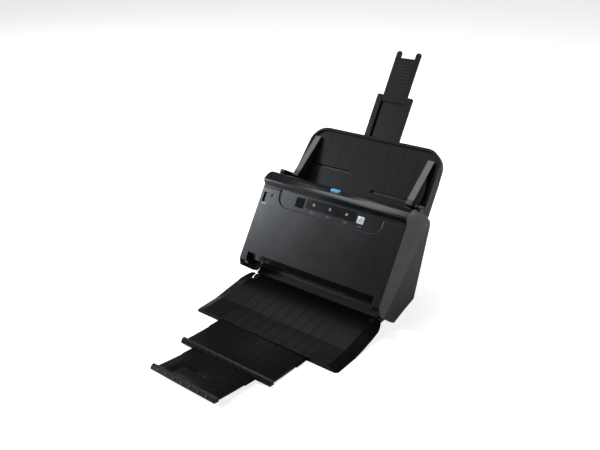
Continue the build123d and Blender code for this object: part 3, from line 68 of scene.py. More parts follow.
def face_point(across, up, out):
    """Point on the sloping face of the cover."""
    return plane_point(FACE_FOOT, FACE_SLOPE, across, up, out)


def tray_point(across, up, out):
    """Point on the bed of the feed tray."""
    return plane_point(TRAY_FOOT, TRAY_SLOPE, across, up, out)


def extension_point(across, up, out):
    """Point on the plane in which the feed tray's extension slides."""
    return plane_point(EXTENSION_FOOT, EXTENSION_SLOPE, across, up, out)


def rear_point(across, up, out):
    """Point on the rear wall, seen from behind, so that across runs the other way."""
    return plane_point(REAR_FOOT, REAR_SLOPE, across, up, out, hand=-1)


print("face centre:", face_point(0, 65, 0).round(4))

# %% [markdown]
# New pieces are grids of points. One helper turns a grid into a mesh and closes it where its ends
# meet, so that each detail only has to say its formula. Another gives a piece its body and its finish.

# %% Meshes from grids of points
def grid_mesh(name, points, wrap=False, cap=False):
    """Mesh of a grid: each cell of four neighbouring points is one face; wrap joins the columns' ends."""
    rows, columns = points.shape[:2]
    index = np.arange(rows * columns).reshape(rows, columns)
    if wrap:
        index = np.hstack([index, index[:, :1]])
    faces = np.stack([index[:-1, :-1], index[:-1, 1:], index[1:, 1:], index[1:, :-1]], axis=-1)
    faces = faces.reshape(-1, 4).tolist()
    if cap:
        faces.append(index[0, :columns][::-1].tolist())
        faces.append(index[-1, :columns].tolist())
    mesh = bpy.data.meshes.new(name)
    mesh.from_pydata(points.reshape(-1, 3).tolist(), [], faces)
    mesh.validate()
    turn_outwards(mesh)
    piece = bpy.data.objects.new(name, mesh)
    bpy.context.collection.objects.link(piece)
    return piece


def turn_outwards(mesh):
    """Turn every face of a closed mesh so that its front looks out."""
    form = bmesh.new()
    form.from_mesh(mesh)
    bmesh.ops.recalc_face_normals(form, faces=form.faces)
    form.to_mesh(mesh)
    form.free()
    mesh.update()


def finished(piece, body, material, smooth=True):
    """Give a piece its body and its material; smooth shades it where the turn is under 35 degrees."""
    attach(piece, body)
    piece.data.materials.append(material)
    if smooth:
        piece.data.shade_smooth()
        piece.data.set_sharp_from_angle(angle=math.radians(35))
    return piece


print("helpers for meshes are ready")

# %% [markdown]
# Moulded plastic is never one flat colour. The mould is spark eroded, so light breaks up on a fine
# grain, and handling leaves patches that are a little duller. Here a fine noise drives the bump, a broad
# one moves tone and roughness a little, and a third one adds the duller patches.

# %% Moulded plastic
TONE_SCALE, TONE_SPREAD, ROUGHNESS_SPREAD = 14.0, 0.10, 0.03
PATCH_SCALE, PATCH_ROUGHNESS, PATCH_EDGES = 45.0, 0.02, (0.35, 0.75)
GRAIN_DEPTH = 0.06 * MM
RELIEF_STRENGTH, RELIEF_DEPTH = 0.6, 0.5 * MM


def new_material(name):
    """Empty principled material with its tree, its shader and the object's own coordinates."""
    material = bpy.data.materials.new(name)
    material.use_nodes = True
    tree = material.node_tree
    place = tree.nodes.new("ShaderNodeTexCoord").outputs["Object"]
    return material, tree, tree.nodes["Principled BSDF"], place


def noise_of(tree, place, scale, detail=2.0, stretch=None):
    """Noise on the given coordinates, stretched along the axes where a stretch is given."""
    if stretch:
        mapping = tree.nodes.new("ShaderNodeMapping")
        mapping.inputs["Scale"].default_value = stretch
        tree.links.new(place, mapping.inputs["Vector"])
        place = mapping.outputs["Vector"]
    noise = tree.nodes.new("ShaderNodeTexNoise")
    noise.inputs["Scale"].default_value = scale
    noise.inputs["Detail"].default_value = detail
    tree.links.new(place, noise.inputs["Vector"])
    return noise.outputs["Fac"]


def spread(tree, value, low, high, start=0.0, end=1.0):
    """Map a value from start..end to low..high."""
    ramp = tree.nodes.new("ShaderNodeMapRange")
    for key, number in (("From Min", start), ("From Max", end), ("To Min", low), ("To Max", high)):
        ramp.inputs[key].default_value = number
    tree.links.new(value, ramp.inputs["Value"])
    return ramp.outputs["Result"]


def tinted(tree, colour, tone):
    """Colour times a tone."""
    shade = tree.nodes.new("ShaderNodeVectorMath")
    shade.operation = "SCALE"
    shade.inputs[0].default_value = colour
    tree.links.new(tone, shade.inputs["Scale"])
    return shade.outputs["Vector"]


def moulded_plastic(name, colour, roughness, grain=0.0012, bump=0.12, specular=0.5, relief=None):
    """Plastic: broad noise for tone and roughness, patches, bump from fine noise and a given relief."""
    material, tree, shader, place = new_material(name)
    broad = noise_of(tree, place, TONE_SCALE, 3.0)
    patches = noise_of(tree, place, PATCH_SCALE, 3.0)
    tone = spread(tree, broad, 1 - TONE_SPREAD, 1 + TONE_SPREAD)
    tree.links.new(tinted(tree, colour, tone), shader.inputs["Base Color"])
    rough = tree.nodes.new("ShaderNodeMath")
    tree.links.new(spread(tree, broad, roughness - ROUGHNESS_SPREAD, roughness + ROUGHNESS_SPREAD),
                   rough.inputs[0])
    tree.links.new(spread(tree, patches, 0.0, PATCH_ROUGHNESS, *PATCH_EDGES), rough.inputs[1])
    tree.links.new(rough.outputs["Value"], shader.inputs["Roughness"])
    fine = tree.nodes.new("ShaderNodeBump")
    fine.inputs["Strength"].default_value = bump
    fine.inputs["Distance"].default_value = GRAIN_DEPTH
    tree.links.new(noise_of(tree, place, 1.0 / grain), fine.inputs["Height"])
    if relief:
        ribs = tree.nodes.new("ShaderNodeBump")
        ribs.inputs["Strength"].default_value = RELIEF_STRENGTH
        ribs.inputs["Distance"].default_value = RELIEF_DEPTH
        tree.links.new(relief(tree, place), ribs.inputs["Height"])
        tree.links.new(ribs.outputs["Normal"], fine.inputs["Normal"])
    tree.links.new(fine.outputs["Normal"], shader.inputs["Normal"])
    shader.inputs["Specular IOR Level"].default_value = specular
    return material


print("grain depth:", GRAIN_DEPTH / MM, "mm, relief depth:", RELIEF_DEPTH / MM, "mm")

# %% [markdown]
# The trays have long shallow flutes along the paper's way, which stiffen the sheet and let the paper
# slide. They are too shallow to change the outline, so they are a wave in the bump: a cosine across
# the tray, cut to its crests, gives narrow raised lines with flats between them.

# %% Flutes of the trays
TRAY_FLUTES, STAGE_FLUTES = (0.020, 0.082), (0.016, 0.052)


def flutes(pitch, half_width, share=0.12):
    """Relief of raised lines along the paper's way: a wave of this pitch across x, cut to its crests."""
    def relief(tree, place):
        split = tree.nodes.new("ShaderNodeSeparateXYZ")
        tree.links.new(place, split.inputs["Vector"])
        wave = tree.nodes.new("ShaderNodeMath")
        wave.operation = "MULTIPLY"
        wave.inputs[1].default_value = 2 * math.pi / pitch
        tree.links.new(split.outputs["X"], wave.inputs[0])
        crest = tree.nodes.new("ShaderNodeMath")
        crest.operation = "COSINE"
        tree.links.new(wave.outputs["Value"], crest.inputs[0])
        line = spread(tree, crest.outputs["Value"], 0.0, 1.0, math.cos(math.pi * share * 2), 1.0)
        inside = tree.nodes.new("ShaderNodeMath")
        inside.operation = "COMPARE"
        inside.inputs[1].default_value = 0.0
        inside.inputs[2].default_value = half_width
        tree.links.new(split.outputs["X"], inside.inputs[0])
        kept = tree.nodes.new("ShaderNodeMath")
        kept.operation = "MULTIPLY"
        tree.links.new(line, kept.inputs[0])
        tree.links.new(inside.outputs["Value"], kept.inputs[1])
        return kept.outputs["Value"]
    return relief


print("flutes every", TRAY_FLUTES[0] / MM, "and", STAGE_FLUTES[0] / MM, "mm")

# %% [markdown]
# The machine has a small family of plastics. The trays and the rear are near black, the sloping face
# and the ridge are satin with a cool tint, and the keys are glossier. The thin layers of print are
# plastics too, with hardly any grain.

# %% The plastics of this scanner
black_shell = moulded_plastic("black_shell", (0.009, 0.0095, 0.011), 0.34, specular=0.42)
satin_face = moulded_plastic("satin_face", (0.0045, 0.005, 0.006), 0.25, grain=0.0006, bump=0.03,
                             specular=0.5)
# The trim is the face's plastic made lighter: a painted highlight for the cover's sloped field wall, the
# lever's rim and the beads.
face_trim = moulded_plastic("face_trim", (0.012, 0.013, 0.015), 0.36, bump=0.04, specular=0.4)
tray_black = moulded_plastic("tray_black", (0.004, 0.004, 0.0045), 0.36, bump=0.10, specular=0.22)
fluted_tray = moulded_plastic("fluted_tray", (0.003, 0.003, 0.0034), 0.36, bump=0.06, specular=0.12,
                              relief=flutes(*TRAY_FLUTES))
fluted_stage = moulded_plastic("fluted_stage", (0.003, 0.003, 0.0034), 0.32, bump=0.06, specular=0.16,
                               relief=flutes(*STAGE_FLUTES))
inner_black = moulded_plastic("inner_black", (0.010, 0.010, 0.011), 0.55, specular=0.3)
key_gloss = moulded_plastic("key_gloss", (0.004, 0.0042, 0.005), 0.20, bump=0.03, specular=0.35)
pale_key = moulded_plastic("pale_key", (0.62, 0.62, 0.70), 0.30, bump=0.03)
gear_white = moulded_plastic("gear_white", (0.78, 0.77, 0.70), 0.40, bump=0.05)
board_green = moulded_plastic("board_green", (0.02, 0.14, 0.06), 0.30, bump=0.04)
roller_rubber = moulded_plastic("roller_rubber", (0.06, 0.06, 0.065), 0.72, grain=0.003, bump=0.25)
foot_rubber = moulded_plastic("foot_rubber", (0.02, 0.02, 0.02), 0.80, grain=0.003, bump=0.25)
print_white = moulded_plastic("print_white", (0.80, 0.81, 0.83), 0.55, bump=0.02)
print_grey = moulded_plastic("print_grey", (0.16, 0.17, 0.18), 0.50, bump=0.02)
print_dark = moulded_plastic("print_dark", (0.05, 0.05, 0.06), 0.45, bump=0.02)
calibration_white = moulded_plastic("calibration_white", (0.82, 0.82, 0.80), 0.60, bump=0.03)
print("materials so far:", len(bpy.data.materials))

# %% [markdown]
# Both levers are seen only by their finger pieces. Each is light or blue where the finger goes and black
# below, as when the tip is moulded on in a second shot. The object's coordinates say where a point lies,
# so the colour changes at a level out of the face, or at a distance from the ridge's middle.

# %% Two colours in one moulding
RIDGE_RADIUS = 25.0
RIDGE_UP, RIDGE_BEHIND = 136.7, 18.35
RIDGE_Y = RIDGE_UP * math.cos(FACE_SLOPE) + RIDGE_BEHIND * math.sin(FACE_SLOPE)
RIDGE_Z = FACE_FOOT[1] + RIDGE_UP * math.sin(FACE_SLOPE) - RIDGE_BEHIND * math.cos(FACE_SLOPE)
KNOB_FLOOR = -1.2
SHUTTER_RADIUS = RIDGE_RADIUS - 2.4
DARK_SHOT = (0.005, 0.005, 0.006)


def share_along(tree, place, direction):
    """How far each point lies along a direction."""
    share = tree.nodes.new("ShaderNodeVectorMath")
    share.operation = "DOT_PRODUCT"
    share.inputs[1].default_value = tuple(direction)
    tree.links.new(place, share.inputs[0])
    return share.outputs["Value"]


def past(tree, value, limit, width=0.05 * MM):
    """One where the value passes the limit, zero below it, with a short change between."""
    return spread(tree, value, 0, 1, limit - width, limit + width)


def two_shot(name, inner, outer, roughness, choose):
    """Plastic in the outer colour where choose gives one, and in the inner colour elsewhere."""
    material = moulded_plastic(name, outer, roughness, bump=0.04, specular=0.4)
    tree = material.node_tree
    shader = tree.nodes["Principled BSDF"]
    blend = tree.nodes.new("ShaderNodeMix")
    blend.data_type = "RGBA"
    sockets = [socket for socket in blend.inputs if socket.enabled]
    sockets[1].default_value = (*inner, 1)
    tree.links.new(shader.inputs["Base Color"].links[0].from_socket, sockets[2])
    tree.links.new(choose(tree, tree.nodes["Texture Coordinate"].outputs["Object"]), sockets[0])
    tree.links.new([socket for socket in blend.outputs if socket.enabled][0], shader.inputs["Base Color"])
    return material


def knob_of_slide(tree, place):
    """One on the knob of the feed mode lever, which stands out of its slot."""
    out = np.array((0, -math.sin(FACE_SLOPE), math.cos(FACE_SLOPE)))
    return past(tree, share_along(tree, place, out), float(face_point(0, 0, KNOB_FLOOR) @ out))


def finger_of_release(tree, place):
    """One on the release lever's finger piece, further from the ridge's middle than its shutter."""
    flat = tree.nodes.new("ShaderNodeVectorMath")
    flat.operation = "MULTIPLY_ADD"
    flat.inputs[1].default_value = (0, 1, 1)
    flat.inputs[2].default_value = (0, -(RIDGE_Y + Y_SHIFT) * MM, -RIDGE_Z * MM)
    tree.links.new(place, flat.inputs[0])
    length = tree.nodes.new("ShaderNodeVectorMath")
    length.operation = "LENGTH"
    tree.links.new(flat.outputs["Vector"], length.inputs[0])
    return past(tree, length.outputs["Value"], SHUTTER_RADIUS * MM)


lever_shots = two_shot("lever_shots", DARK_SHOT, (0.20, 0.205, 0.22), 0.34, knob_of_slide)
lever_blues = two_shot("lever_blues", DARK_SHOT, (0.14, 0.50, 0.86), 0.30, finger_of_release)
print("ridge centre:", round(RIDGE_Y + Y_SHIFT, 2), round(RIDGE_Z, 2))

# %% [markdown]
# Each side cap has a broad bevel along the face. Its plane is hardly turned from the side's, so the lamps
# hardly part it from the side, and it is given a lighter colour as a painted sheen where the side is near
# black. It is wide at the top and narrows towards the foot, so its limit is a straight line on the side:
# the depth behind the face less a share of the way up.

# %% Painted sheen on the caps' bevel
BEVEL_SHARE = 0.30
BEVEL_DEPTH = 22.0
BEVEL_BLEND = 0.4 * MM


def painted_sheen_on_cap_bevel(tree, place):
    """One on the bevel along the face, where the sheen is painted, zero on the cap's side."""
    up = np.array((0, math.cos(FACE_SLOPE), math.sin(FACE_SLOPE)))
    behind = np.array((0, math.sin(FACE_SLOPE), -math.cos(FACE_SLOPE)))
    near = BEVEL_SHARE * up - behind
    limit = float(face_point(0, 0, 0) @ near) - BEVEL_DEPTH * MM
    return past(tree, share_along(tree, place, near), limit, BEVEL_BLEND)


# The bevel's lighter colour is a painted sheen; the side keeps the cap's near black.
cap_blacks = two_shot("cap_blacks", (0.007, 0.0072, 0.008), (0.030, 0.033, 0.037), 0.32, painted_sheen_on_cap_bevel)
print("bevel at the foot:", BEVEL_DEPTH, "mm wide")

# %% [markdown]
# Shafts, pins and frames are steel. A noise squeezed along x gives the fine turning marks, and it only
# moves the roughness, because the metal itself has one colour. The hinge pins are blackened. The scan
# units' glass is a gloss surface that is partly see-through.

# %% Steel and glass
MARK_STRETCH = (600, 40, 40)


def turned_steel(name, colour, roughness):
    """Metal whose roughness follows noise squeezed along x, as turning marks are."""
    material, tree, shader, place = new_material(name)
    marks = noise_of(tree, place, 4.0, stretch=MARK_STRETCH)
    tarnish = noise_of(tree, place, 30.0, 3.0)
    tree.links.new(tinted(tree, colour, spread(tree, tarnish, 0.92, 1.06)), shader.inputs["Base Color"])
    tree.links.new(spread(tree, marks, roughness - 0.08, roughness + 0.10), shader.inputs["Roughness"])
    shader.inputs["Metallic"].default_value = 1.0
    return material


def clear_window(name, colour, alpha, roughness):
    """Thin window: a gloss surface that hides more of what lies behind it as alpha nears one."""
    material = moulded_plastic(name, colour, roughness, bump=0.0)
    material.node_tree.nodes["Principled BSDF"].inputs["Alpha"].default_value = alpha
    return material


steel = turned_steel("steel", (0.56, 0.56, 0.58), 0.32)
black_steel = turned_steel("black_steel", (0.03, 0.03, 0.032), 0.42)
screw_steel = turned_steel("screw_steel", (0.20, 0.20, 0.21), 0.30)
scan_glass = clear_window("scan_glass", (0.55, 0.62, 0.62), 0.45, 0.06)
display_glass = clear_window("display_glass", (0.002, 0.002, 0.0025), 1.0, 0.12)
print("materials now:", len(bpy.data.materials))

# %% [markdown]
# Each carried-over solid gets the finish of the real piece. Gears, bushes and idlers are light
# plastic, and the driven rollers and the retard roller are rubber.

# %% Finishes of the solids
finish_of = {
    black_shell: ["base_pan", "rear_shell", "power_inlet"],
    cap_blacks: ["side_cap_right", "side_cap_left"],
    satin_face: ["front_cover"],
    tray_black: ["feed_tray", "feed_tray_back", "extension_channel", "feed_extension",
                 "feed_extension_tip", "paper_stopper"],
    fluted_tray: ["eject_tray"],
    fluted_stage: ["eject_extension", "eject_extension_tip"],
    inner_black: ["rear_guide_plate", "front_guide_plate", "rear_scan_unit", "front_scan_unit"],
    key_gloss: ["power_button", "key_left", "key_middle", "key_right"],
    pale_key: ["start_key"],
    lever_shots: ["feed_mode_lever"],
    lever_blues: ["release_lever"],
    gear_white: ["shaft_bushes", "idler_gear", "feed_gear", "registration_gear", "eject_pulley",
                 "guide_pinion", "registration_idlers", "eject_idlers"],
    board_green: ["main_board", "control_board"],
    roller_rubber: ["feed_roller", "registration_rollers", "eject_rollers", "retard_roller"],
    foot_rubber: ["rubber_feet", "drive_belt"],
    steel: ["side_frames", "case_screws", "drive_motor", "motor_pulley", "idler_stud", "feed_shaft",
            "registration_shaft", "eject_shaft", "latch_shaft", "data_port"],
    black_steel: ["cover_hinge_pins", "tray_hinge_pins", "latch_pins"],
    scan_glass: ["rear_scan_glass", "front_scan_glass"],
    display_glass: ["display_window"],
}


def give(name, material):
    """Give a solid one material in place of its own."""
    nodes[name].data.materials.clear()
    nodes[name].data.materials.append(material)


for material, names in finish_of.items():
    for name in names:
        give(name, material)
print("finished nodes:", sum(len(names) for names in finish_of.values()))

# %% [markdown]
# The solids are triangles, so a weld and a planar dissolve first join them into whole faces, and then a
# small bevel gives each moulding the broken edge that catches the light. The eject stages are curved,
# so their facets aren't dissolved.

# %% Broken edges of the solids
WELD_DISTANCE = 0.01 * MM
FLAT_ANGLE, EDGE_ANGLE = math.radians(0.6), math.radians(28)
rounded_edges = {
    0.0005: ["front_cover", "side_cap_right", "side_cap_left", "rear_shell", "feed_tray", "feed_tray_back"],
    0.0004: ["eject_tray", "eject_extension", "eject_extension_tip", "feed_extension", "guide_left",
             "guide_right"],
    0.00025: ["feed_extension_tip", "paper_stopper", "start_key", "key_left", "key_middle", "key_right",
              "power_button", "release_lever"],
}
for width, names in rounded_edges.items():
    for name in names:
        weld = nodes[name].modifiers.new("weld", "WELD")
        weld.merge_threshold = WELD_DISTANCE
        if not name.startswith("eject"):
            whole = nodes[name].modifiers.new("whole_faces", "DECIMATE")
            whole.decimate_type = "DISSOLVE"
            whole.angle_limit = FLAT_ANGLE
        bevel = nodes[name].modifiers.new("bevel", "BEVEL")
        bevel.width = width
        bevel.segments = 2
        bevel.limit_method = "ANGLE"
        bevel.angle_limit = EDGE_ANGLE
        bevel.harden_normals = True
print("rounded nodes:", sum(len(names) for names in rounded_edges.values()))

# %% [markdown]
# The control field is a shallow tray sunk into the sloping face. On the real cover its wall is not
# square: it runs down in a slope that shows as a bright line round the field, and the slope's plastic is
# lighter than the face's, a painted highlight on that line. The slope is a narrow moulding, which is a
# profile carried along the field's outline, with its back buried in the wall.

# %% Sloped wall of the control field
FACE_LENGTH = 130.0
FIELD_HALF, FIELD_LOW, FIELD_CORNER = 104.0, 104.0, 21.0
FIELD_SLOPE = [(-0.2, -0.02), (0.25, -0.12), (1.5, -1.7), (1.75, -2.1), (-0.2, -2.1)]


def moulding(name, place, path, profile, level=0.0, closed=False):
    """Closed profile of (sideways, out) pairs carried along a path on a plane, at a level."""
    path = np.asarray(path, float)
    ahead = np.roll(path, -1, axis=0) - np.roll(path, 1, axis=0)
    if not closed:
        ahead[0], ahead[-1] = path[1] - path[0], path[-1] - path[-2]
    ahead /= np.linalg.norm(ahead, axis=1, keepdims=True)
    side = np.stack([-ahead[:, 1], ahead[:, 0]], axis=-1)
    profile = np.asarray(profile, float)
    across = path[None] + profile[:, 0, None, None] * side[None]
    out = level + profile[:, 1, None] * np.ones(len(path))
    grid = place(across[..., 0], across[..., 1], out)
    if closed:
        grid = np.concatenate([grid, grid[:1]])
        return grid_mesh(name, grid, wrap=True)
    return grid_mesh(name, grid.transpose(1, 0, 2), wrap=True, cap=True)


def arc_path(centre, radius, start, end, count=13):
    """Points on a circle between two angles in degrees."""
    angle = np.radians(np.linspace(start, end, count))
    return np.stack([centre[0] + radius * np.cos(angle), centre[1] + radius * np.sin(angle)], axis=-1)


field_path = np.concatenate([
    [(-FIELD_HALF, FACE_LENGTH - 0.5)],
    arc_path((FIELD_CORNER - FIELD_HALF, FIELD_LOW + FIELD_CORNER), FIELD_CORNER, 180, 270),
    arc_path((FIELD_HALF - FIELD_CORNER, FIELD_LOW + FIELD_CORNER), FIELD_CORNER, 270, 360),
    [(FIELD_HALF, FACE_LENGTH - 0.5)],
])
field_wall = finished(moulding("field_wall", face_point, field_path, FIELD_SLOPE), "cover", face_trim)
print("field wall faces:", len(field_wall.data.polygons))

# %% [markdown]
# The keys carry small printed signs, and their names stand on the field below them. The words are only
# what any scanner's keys say. A sign is a printed layer a fiftieth of a millimetre thick, and a word is
# a flat outline of the font that lies as high above the field.

# %% Signs and words on the controls
KEY_CENTRES = (-30.2, 2.6, 35.4)
KEY_TOP, FIELD_LEVEL = -1.28, -1.98
SIGN_UP, WORD_UP, WORD_SIZE = 123.6, 110.3, 3.3
START_CENTRE = (62.75, 121.0)
POWER_SIGN = (-111.3, 119.2)
INK = 0.02


def merged(name, pieces):
    """One object from several that have just been made, so that a set of marks is one piece."""
    form = bmesh.new()
    for piece in pieces:
        form.from_mesh(piece.data)
        bpy.data.objects.remove(piece)
    whole = bpy.data.meshes.new(name)
    form.to_mesh(whole)
    form.free()
    joined = bpy.data.objects.new(name, whole)
    bpy.context.collection.objects.link(joined)
    return joined


def mesh_points(mesh):
    """Corner points of a mesh as an array."""
    flat = np.empty(len(mesh.vertices) * 3)
    mesh.vertices.foreach_get("co", flat)
    return flat.reshape(-1, 3)


def printed(name, place, words, centre, size, level):
    """Flat lettering on a plane: the font's outline, centred, and laid on the plane at the level."""
    curve = bpy.data.curves.new(name, "FONT")
    curve.body = words
    curve.size = size
    curve.align_x = "CENTER"
    curve.align_y = "CENTER"
    curve.resolution_u = 3
    holder = bpy.data.objects.new(name + "_curve", curve)
    mesh = bpy.data.meshes.new_from_object(holder)
    bpy.data.objects.remove(holder)
    flat = mesh_points(mesh)
    laid = place(centre[0] + flat[:, 0], centre[1] + flat[:, 1], level)
    mesh.vertices.foreach_set("co", laid.ravel())
    mesh.update()
    piece = bpy.data.objects.new(name, mesh)
    bpy.context.collection.objects.link(piece)
    return piece


def flat_line(width):
    """Profile of a printed line."""
    return [(-width / 2, 0.0), (-width / 2, INK), (width / 2, INK), (width / 2, 0.0)]


def stroke(name, path, width, level=KEY_TOP, closed=False):
    """Printed line of this width along a path on the face, at a level."""
    return moulding(name, face_point, path, flat_line(width), level, closed)


def bar(name, centre, reach, width, level=KEY_TOP):
    """Straight printed line that reaches this far both ways from its centre."""
    centre, reach = np.array(centre), np.array(reach)
    return stroke(name, [centre - reach, centre + reach], width, level)


def printed_set(name, strokes, body, material):
    """One piece from a few printed strokes, riding on a body."""
    piece = finished(merged(name, strokes), body, material, smooth=False)
    return piece


menu_lines = [bar(f"menu_{row}", (KEY_CENTRES[0], SIGN_UP + step), (2.2, 0), 0.55)
              for row, step in enumerate((-1.5, 0, 1.5))]
printed_set("sign_menu", menu_lines, "left_key", print_white)
sheet_corners = [(-1.5, -2.0), (1.5, -2.0), (1.5, 1.1), (0.6, 2.0), (-1.5, 2.0)]
sheet = stroke("sheet", np.array(sheet_corners) + (KEY_CENTRES[1], SIGN_UP), 0.45, closed=True)
printed_set("sign_sheet", [sheet], "middle_key", print_white)
stop = stroke("stop", arc_path((KEY_CENTRES[2], SIGN_UP), 1.9, 0, 330, 12), 0.5, closed=True)
stop_bar = bar("stop_bar", (KEY_CENTRES[2], SIGN_UP), (0.9, 0.9), 0.5)
printed_set("sign_stop", [stop, stop_bar], "right_key", print_white)
start_ring = stroke("start_ring", arc_path(START_CENTRE, 2.6, 0, 340, 18), 0.6, closed=True)
start_bar = bar("start_bar", START_CENTRE, (0, 1.5), 0.6)
printed_set("sign_start", [start_ring, start_bar], "go_key", print_dark)
power_ring = stroke("power_ring", arc_path(POWER_SIGN, 1.7, 120, 420, 16), 0.5, level=0.0)
power_bar = bar("power_bar", (POWER_SIGN[0], POWER_SIGN[1] + 1.45), (0, 0.95), 0.5, level=0.0)
printed_set("sign_power", [power_ring, power_bar], "cover", print_grey)
for words, across in (("MENU", KEY_CENTRES[0]), ("FEED", KEY_CENTRES[1]), ("STOP", KEY_CENTRES[2]),
                      ("SCAN", START_CENTRE[0])):
    label = printed("word_" + words.lower(), face_point, words, (across, WORD_UP), WORD_SIZE, FIELD_LEVEL)
    finished(label, "cover", print_grey, smooth=False)
print("words at", WORD_UP, "mm up the face")

# %% [markdown]
# The blue release lever stands in a round ended opening. A thin raised rim keeps the finger from
# catching the edge. It is a half round bead bent over the ridge: a way along it is an arc length on the
# ridge's circle, counted from the lever's middle.

# %% Rim round the release lever
LEVER_ANGLE = 100.0
RIM_SIZE, RIM_CORNER, RIM_POINTS = (24.6, 14.0), 6.6, 40


def rounded_outline(width, height, radius, count=24):
    """Rounded rectangle: each point is its corner's centre plus radius times the direction."""
    angle = (np.arange(count) + 0.5) * 2 * np.pi / count
    x = np.sign(np.cos(angle)) * (width / 2 - radius) + radius * np.cos(angle)
    y = np.sign(np.sin(angle)) * (height / 2 - radius) + radius * np.sin(angle)
    return x, y


def half_round(width, height, sides=7):
    """Profile of a bead: sideways width/2 cos(a), out height sin(a), closed a little below the plane."""
    angle = np.linspace(np.pi, 0, sides)
    arch = np.stack([0.5 * width * np.cos(angle), height * np.sin(angle)], axis=-1)
    return np.concatenate([[(-0.5 * width, -0.1)], arch, [(0.5 * width, -0.1)]])


def ridge_point(across, along, out):
    """Point on the ridge: along is an arc length from the lever's middle, out is off the surface."""
    across, along, out = np.broadcast_arrays(*(np.asarray(value, float) for value in (across, along, out)))
    angle = math.radians(LEVER_ANGLE) - along / RIDGE_RADIUS
    y = RIDGE_Y + Y_SHIFT + (RIDGE_RADIUS + out) * np.cos(angle)
    z = RIDGE_Z + (RIDGE_RADIUS + out) * np.sin(angle)
    return np.stack([across, y, z], axis=-1) * MM


rim_path = np.stack(rounded_outline(*RIM_SIZE, RIM_CORNER, RIM_POINTS), axis=-1)
lever_rim = moulding("lever_rim", ridge_point, rim_path, half_round(1.0, 0.28), closed=True)
# The rim's lighter trim plastic paints a highlight on the bead.
finished(lever_rim, "cover", face_trim)
print("rim points:", len(lever_rim.data.vertices))

# %% [markdown]
# Along the cover's fold the face breaks over into a groove and the ridge rises behind it. To the left
# and right of the control field a thin bead along the fold stands for the rolled edge of the moulding,
# and a finer one edges each end of the cut-out over the paper exit.

# %% Rolled edges of the cover
FOLD_UP, FOLD_ACROSS = 129.5, (140.2, 112.0, 104.6)
EXIT_ACROSS, EXIT_UP = 129.0, (0.5, 14.4)


def cover_bead(name, path, width, height):
    """Half round bead along a path on the cover's face, in the lighter trim plastic that paints a highlight
    on it.
    """
    bead = moulding(name, face_point, path, half_round(width, height))
    finished(bead, "cover", face_trim)


for hand, name in ((-1, "left"), (1, "right")):
    cover_bead(f"fold_{name}", [(hand * across, FOLD_UP) for across in FOLD_ACROSS], 0.9, 0.22)
    cover_bead(f"exit_edge_{name}", [(hand * EXIT_ACROSS, up) for up in EXIT_UP], 0.7, 0.2)
print("beads on each side of the cover: 2")

# %% [markdown]
# The bed of the feed tray has low ribs that keep the sheets from sticking to it. They stop at the two
# slots in which the guides run, and they stay lower than the gap under the guides. Each is a half round
# along a straight path, and all of them together are one moulding.

# %% Ribs on the feed tray
RIB_ACROSS = (30, 60, 90)
RIB_ENDS = (14, 132)
GUIDE_SLOT = {-1: (67.5, 75.5), 1: (44.5, 52.5)}

ribs = []
for hand, (slot_low, slot_high) in GUIDE_SLOT.items():
    for across in RIB_ACROSS:
        for run, ends in enumerate(((RIB_ENDS[0], slot_low), (slot_high, RIB_ENDS[1]))):
            path = [(hand * across, along) for along in np.linspace(*ends, 4)]
            ribs.append(moulding(f"rib_{hand}_{across}_{run}", tray_point, path, half_round(1.8, 0.28)))
bed_ribs = finished(merged("bed_ribs", ribs), "tray", tray_black)
print("ribs on the bed:", len(ribs))

# %% [markdown]
# Paper sizes are printed at the foot of the bed, each by a short line at half the sheet's width. These
# are standard sheet names, as on any tray of this kind.

# %% Paper size marks
SHEETS = {"A4": 105.0, "B5": 91.0, "A5": 74.0, "A6": 52.5}
MARK_UP, MARK_WIDTH = (6.0, 12.0), 0.4
MARK_TEXT_SIZE, MARK_TEXT_INSET = 3.4, 4.6

marks = []
for words, half_width in SHEETS.items():
    for hand in (-1, 1):
        side_name = "left" if hand < 0 else "right"
        path = [(hand * half_width, up) for up in MARK_UP]
        marks.append(moulding(f"line_{words}_{side_name}", tray_point, path, flat_line(MARK_WIDTH)))
        centre = (hand * (half_width - MARK_TEXT_INSET), sum(MARK_UP) / 2)
        marks.append(printed(f"text_{words}_{side_name}", tray_point, words, centre, MARK_TEXT_SIZE, INK))
size_marks = finished(merged("size_marks", marks), "tray", print_grey, smooth=False)
print("size marks:", len(SHEETS), "sheets")

# %% [markdown]
# The last stage of the feed extension carries a ladder of fine cross ribs, so that a finger can pull it
# out. They lie lower than the plane of the stage above, because the stage slides under a roof.

# %% Finger ribs of the extension
TIP_LEVEL = -0.3
STEP_ACROSS = (-15, 0, 15)
STEP_UP = np.arange(84, 140, 6.0)

ladder = [moulding(f"step_{number}", extension_point, [(across, up) for across in STEP_ACROSS],
                   half_round(1.5, 0.24), level=TIP_LEVEL) for number, up in enumerate(STEP_UP)]
finger_ribs = finished(merged("finger_ribs", ladder), "extension_tip", tray_black)
print("finger ribs:", len(ladder))

# %% [markdown]
# Each document guide is grey plastic. Its web and the block at the flange's low end are painted near
# black as painted shade, where the recess and the end lie in shade; the flange and the foot keep the grey.
# The flange follows the wedge's sloping top, so a point belongs to it where its distance below that line
# is small. Written out, that distance is one dot product, which a material can read from the object's
# coordinates.

# %% The guides' grey and their painted shade
SHOULDER, WEDGE_END = (38.0, 25.0), (122.0, 5.3)
FLANGE_THICKNESS = 2.4
BLOCK_END = 46.0
FOOT_TOP = 2.6
WEB_OUTSIDE = 110.7


def combined(tree, first, second, operation):
    """Two values through one math node."""
    node = tree.nodes.new("ShaderNodeMath")
    node.operation = operation
    tree.links.new(first, node.inputs[0])
    tree.links.new(second, node.inputs[1])
    return node.outputs["Value"]


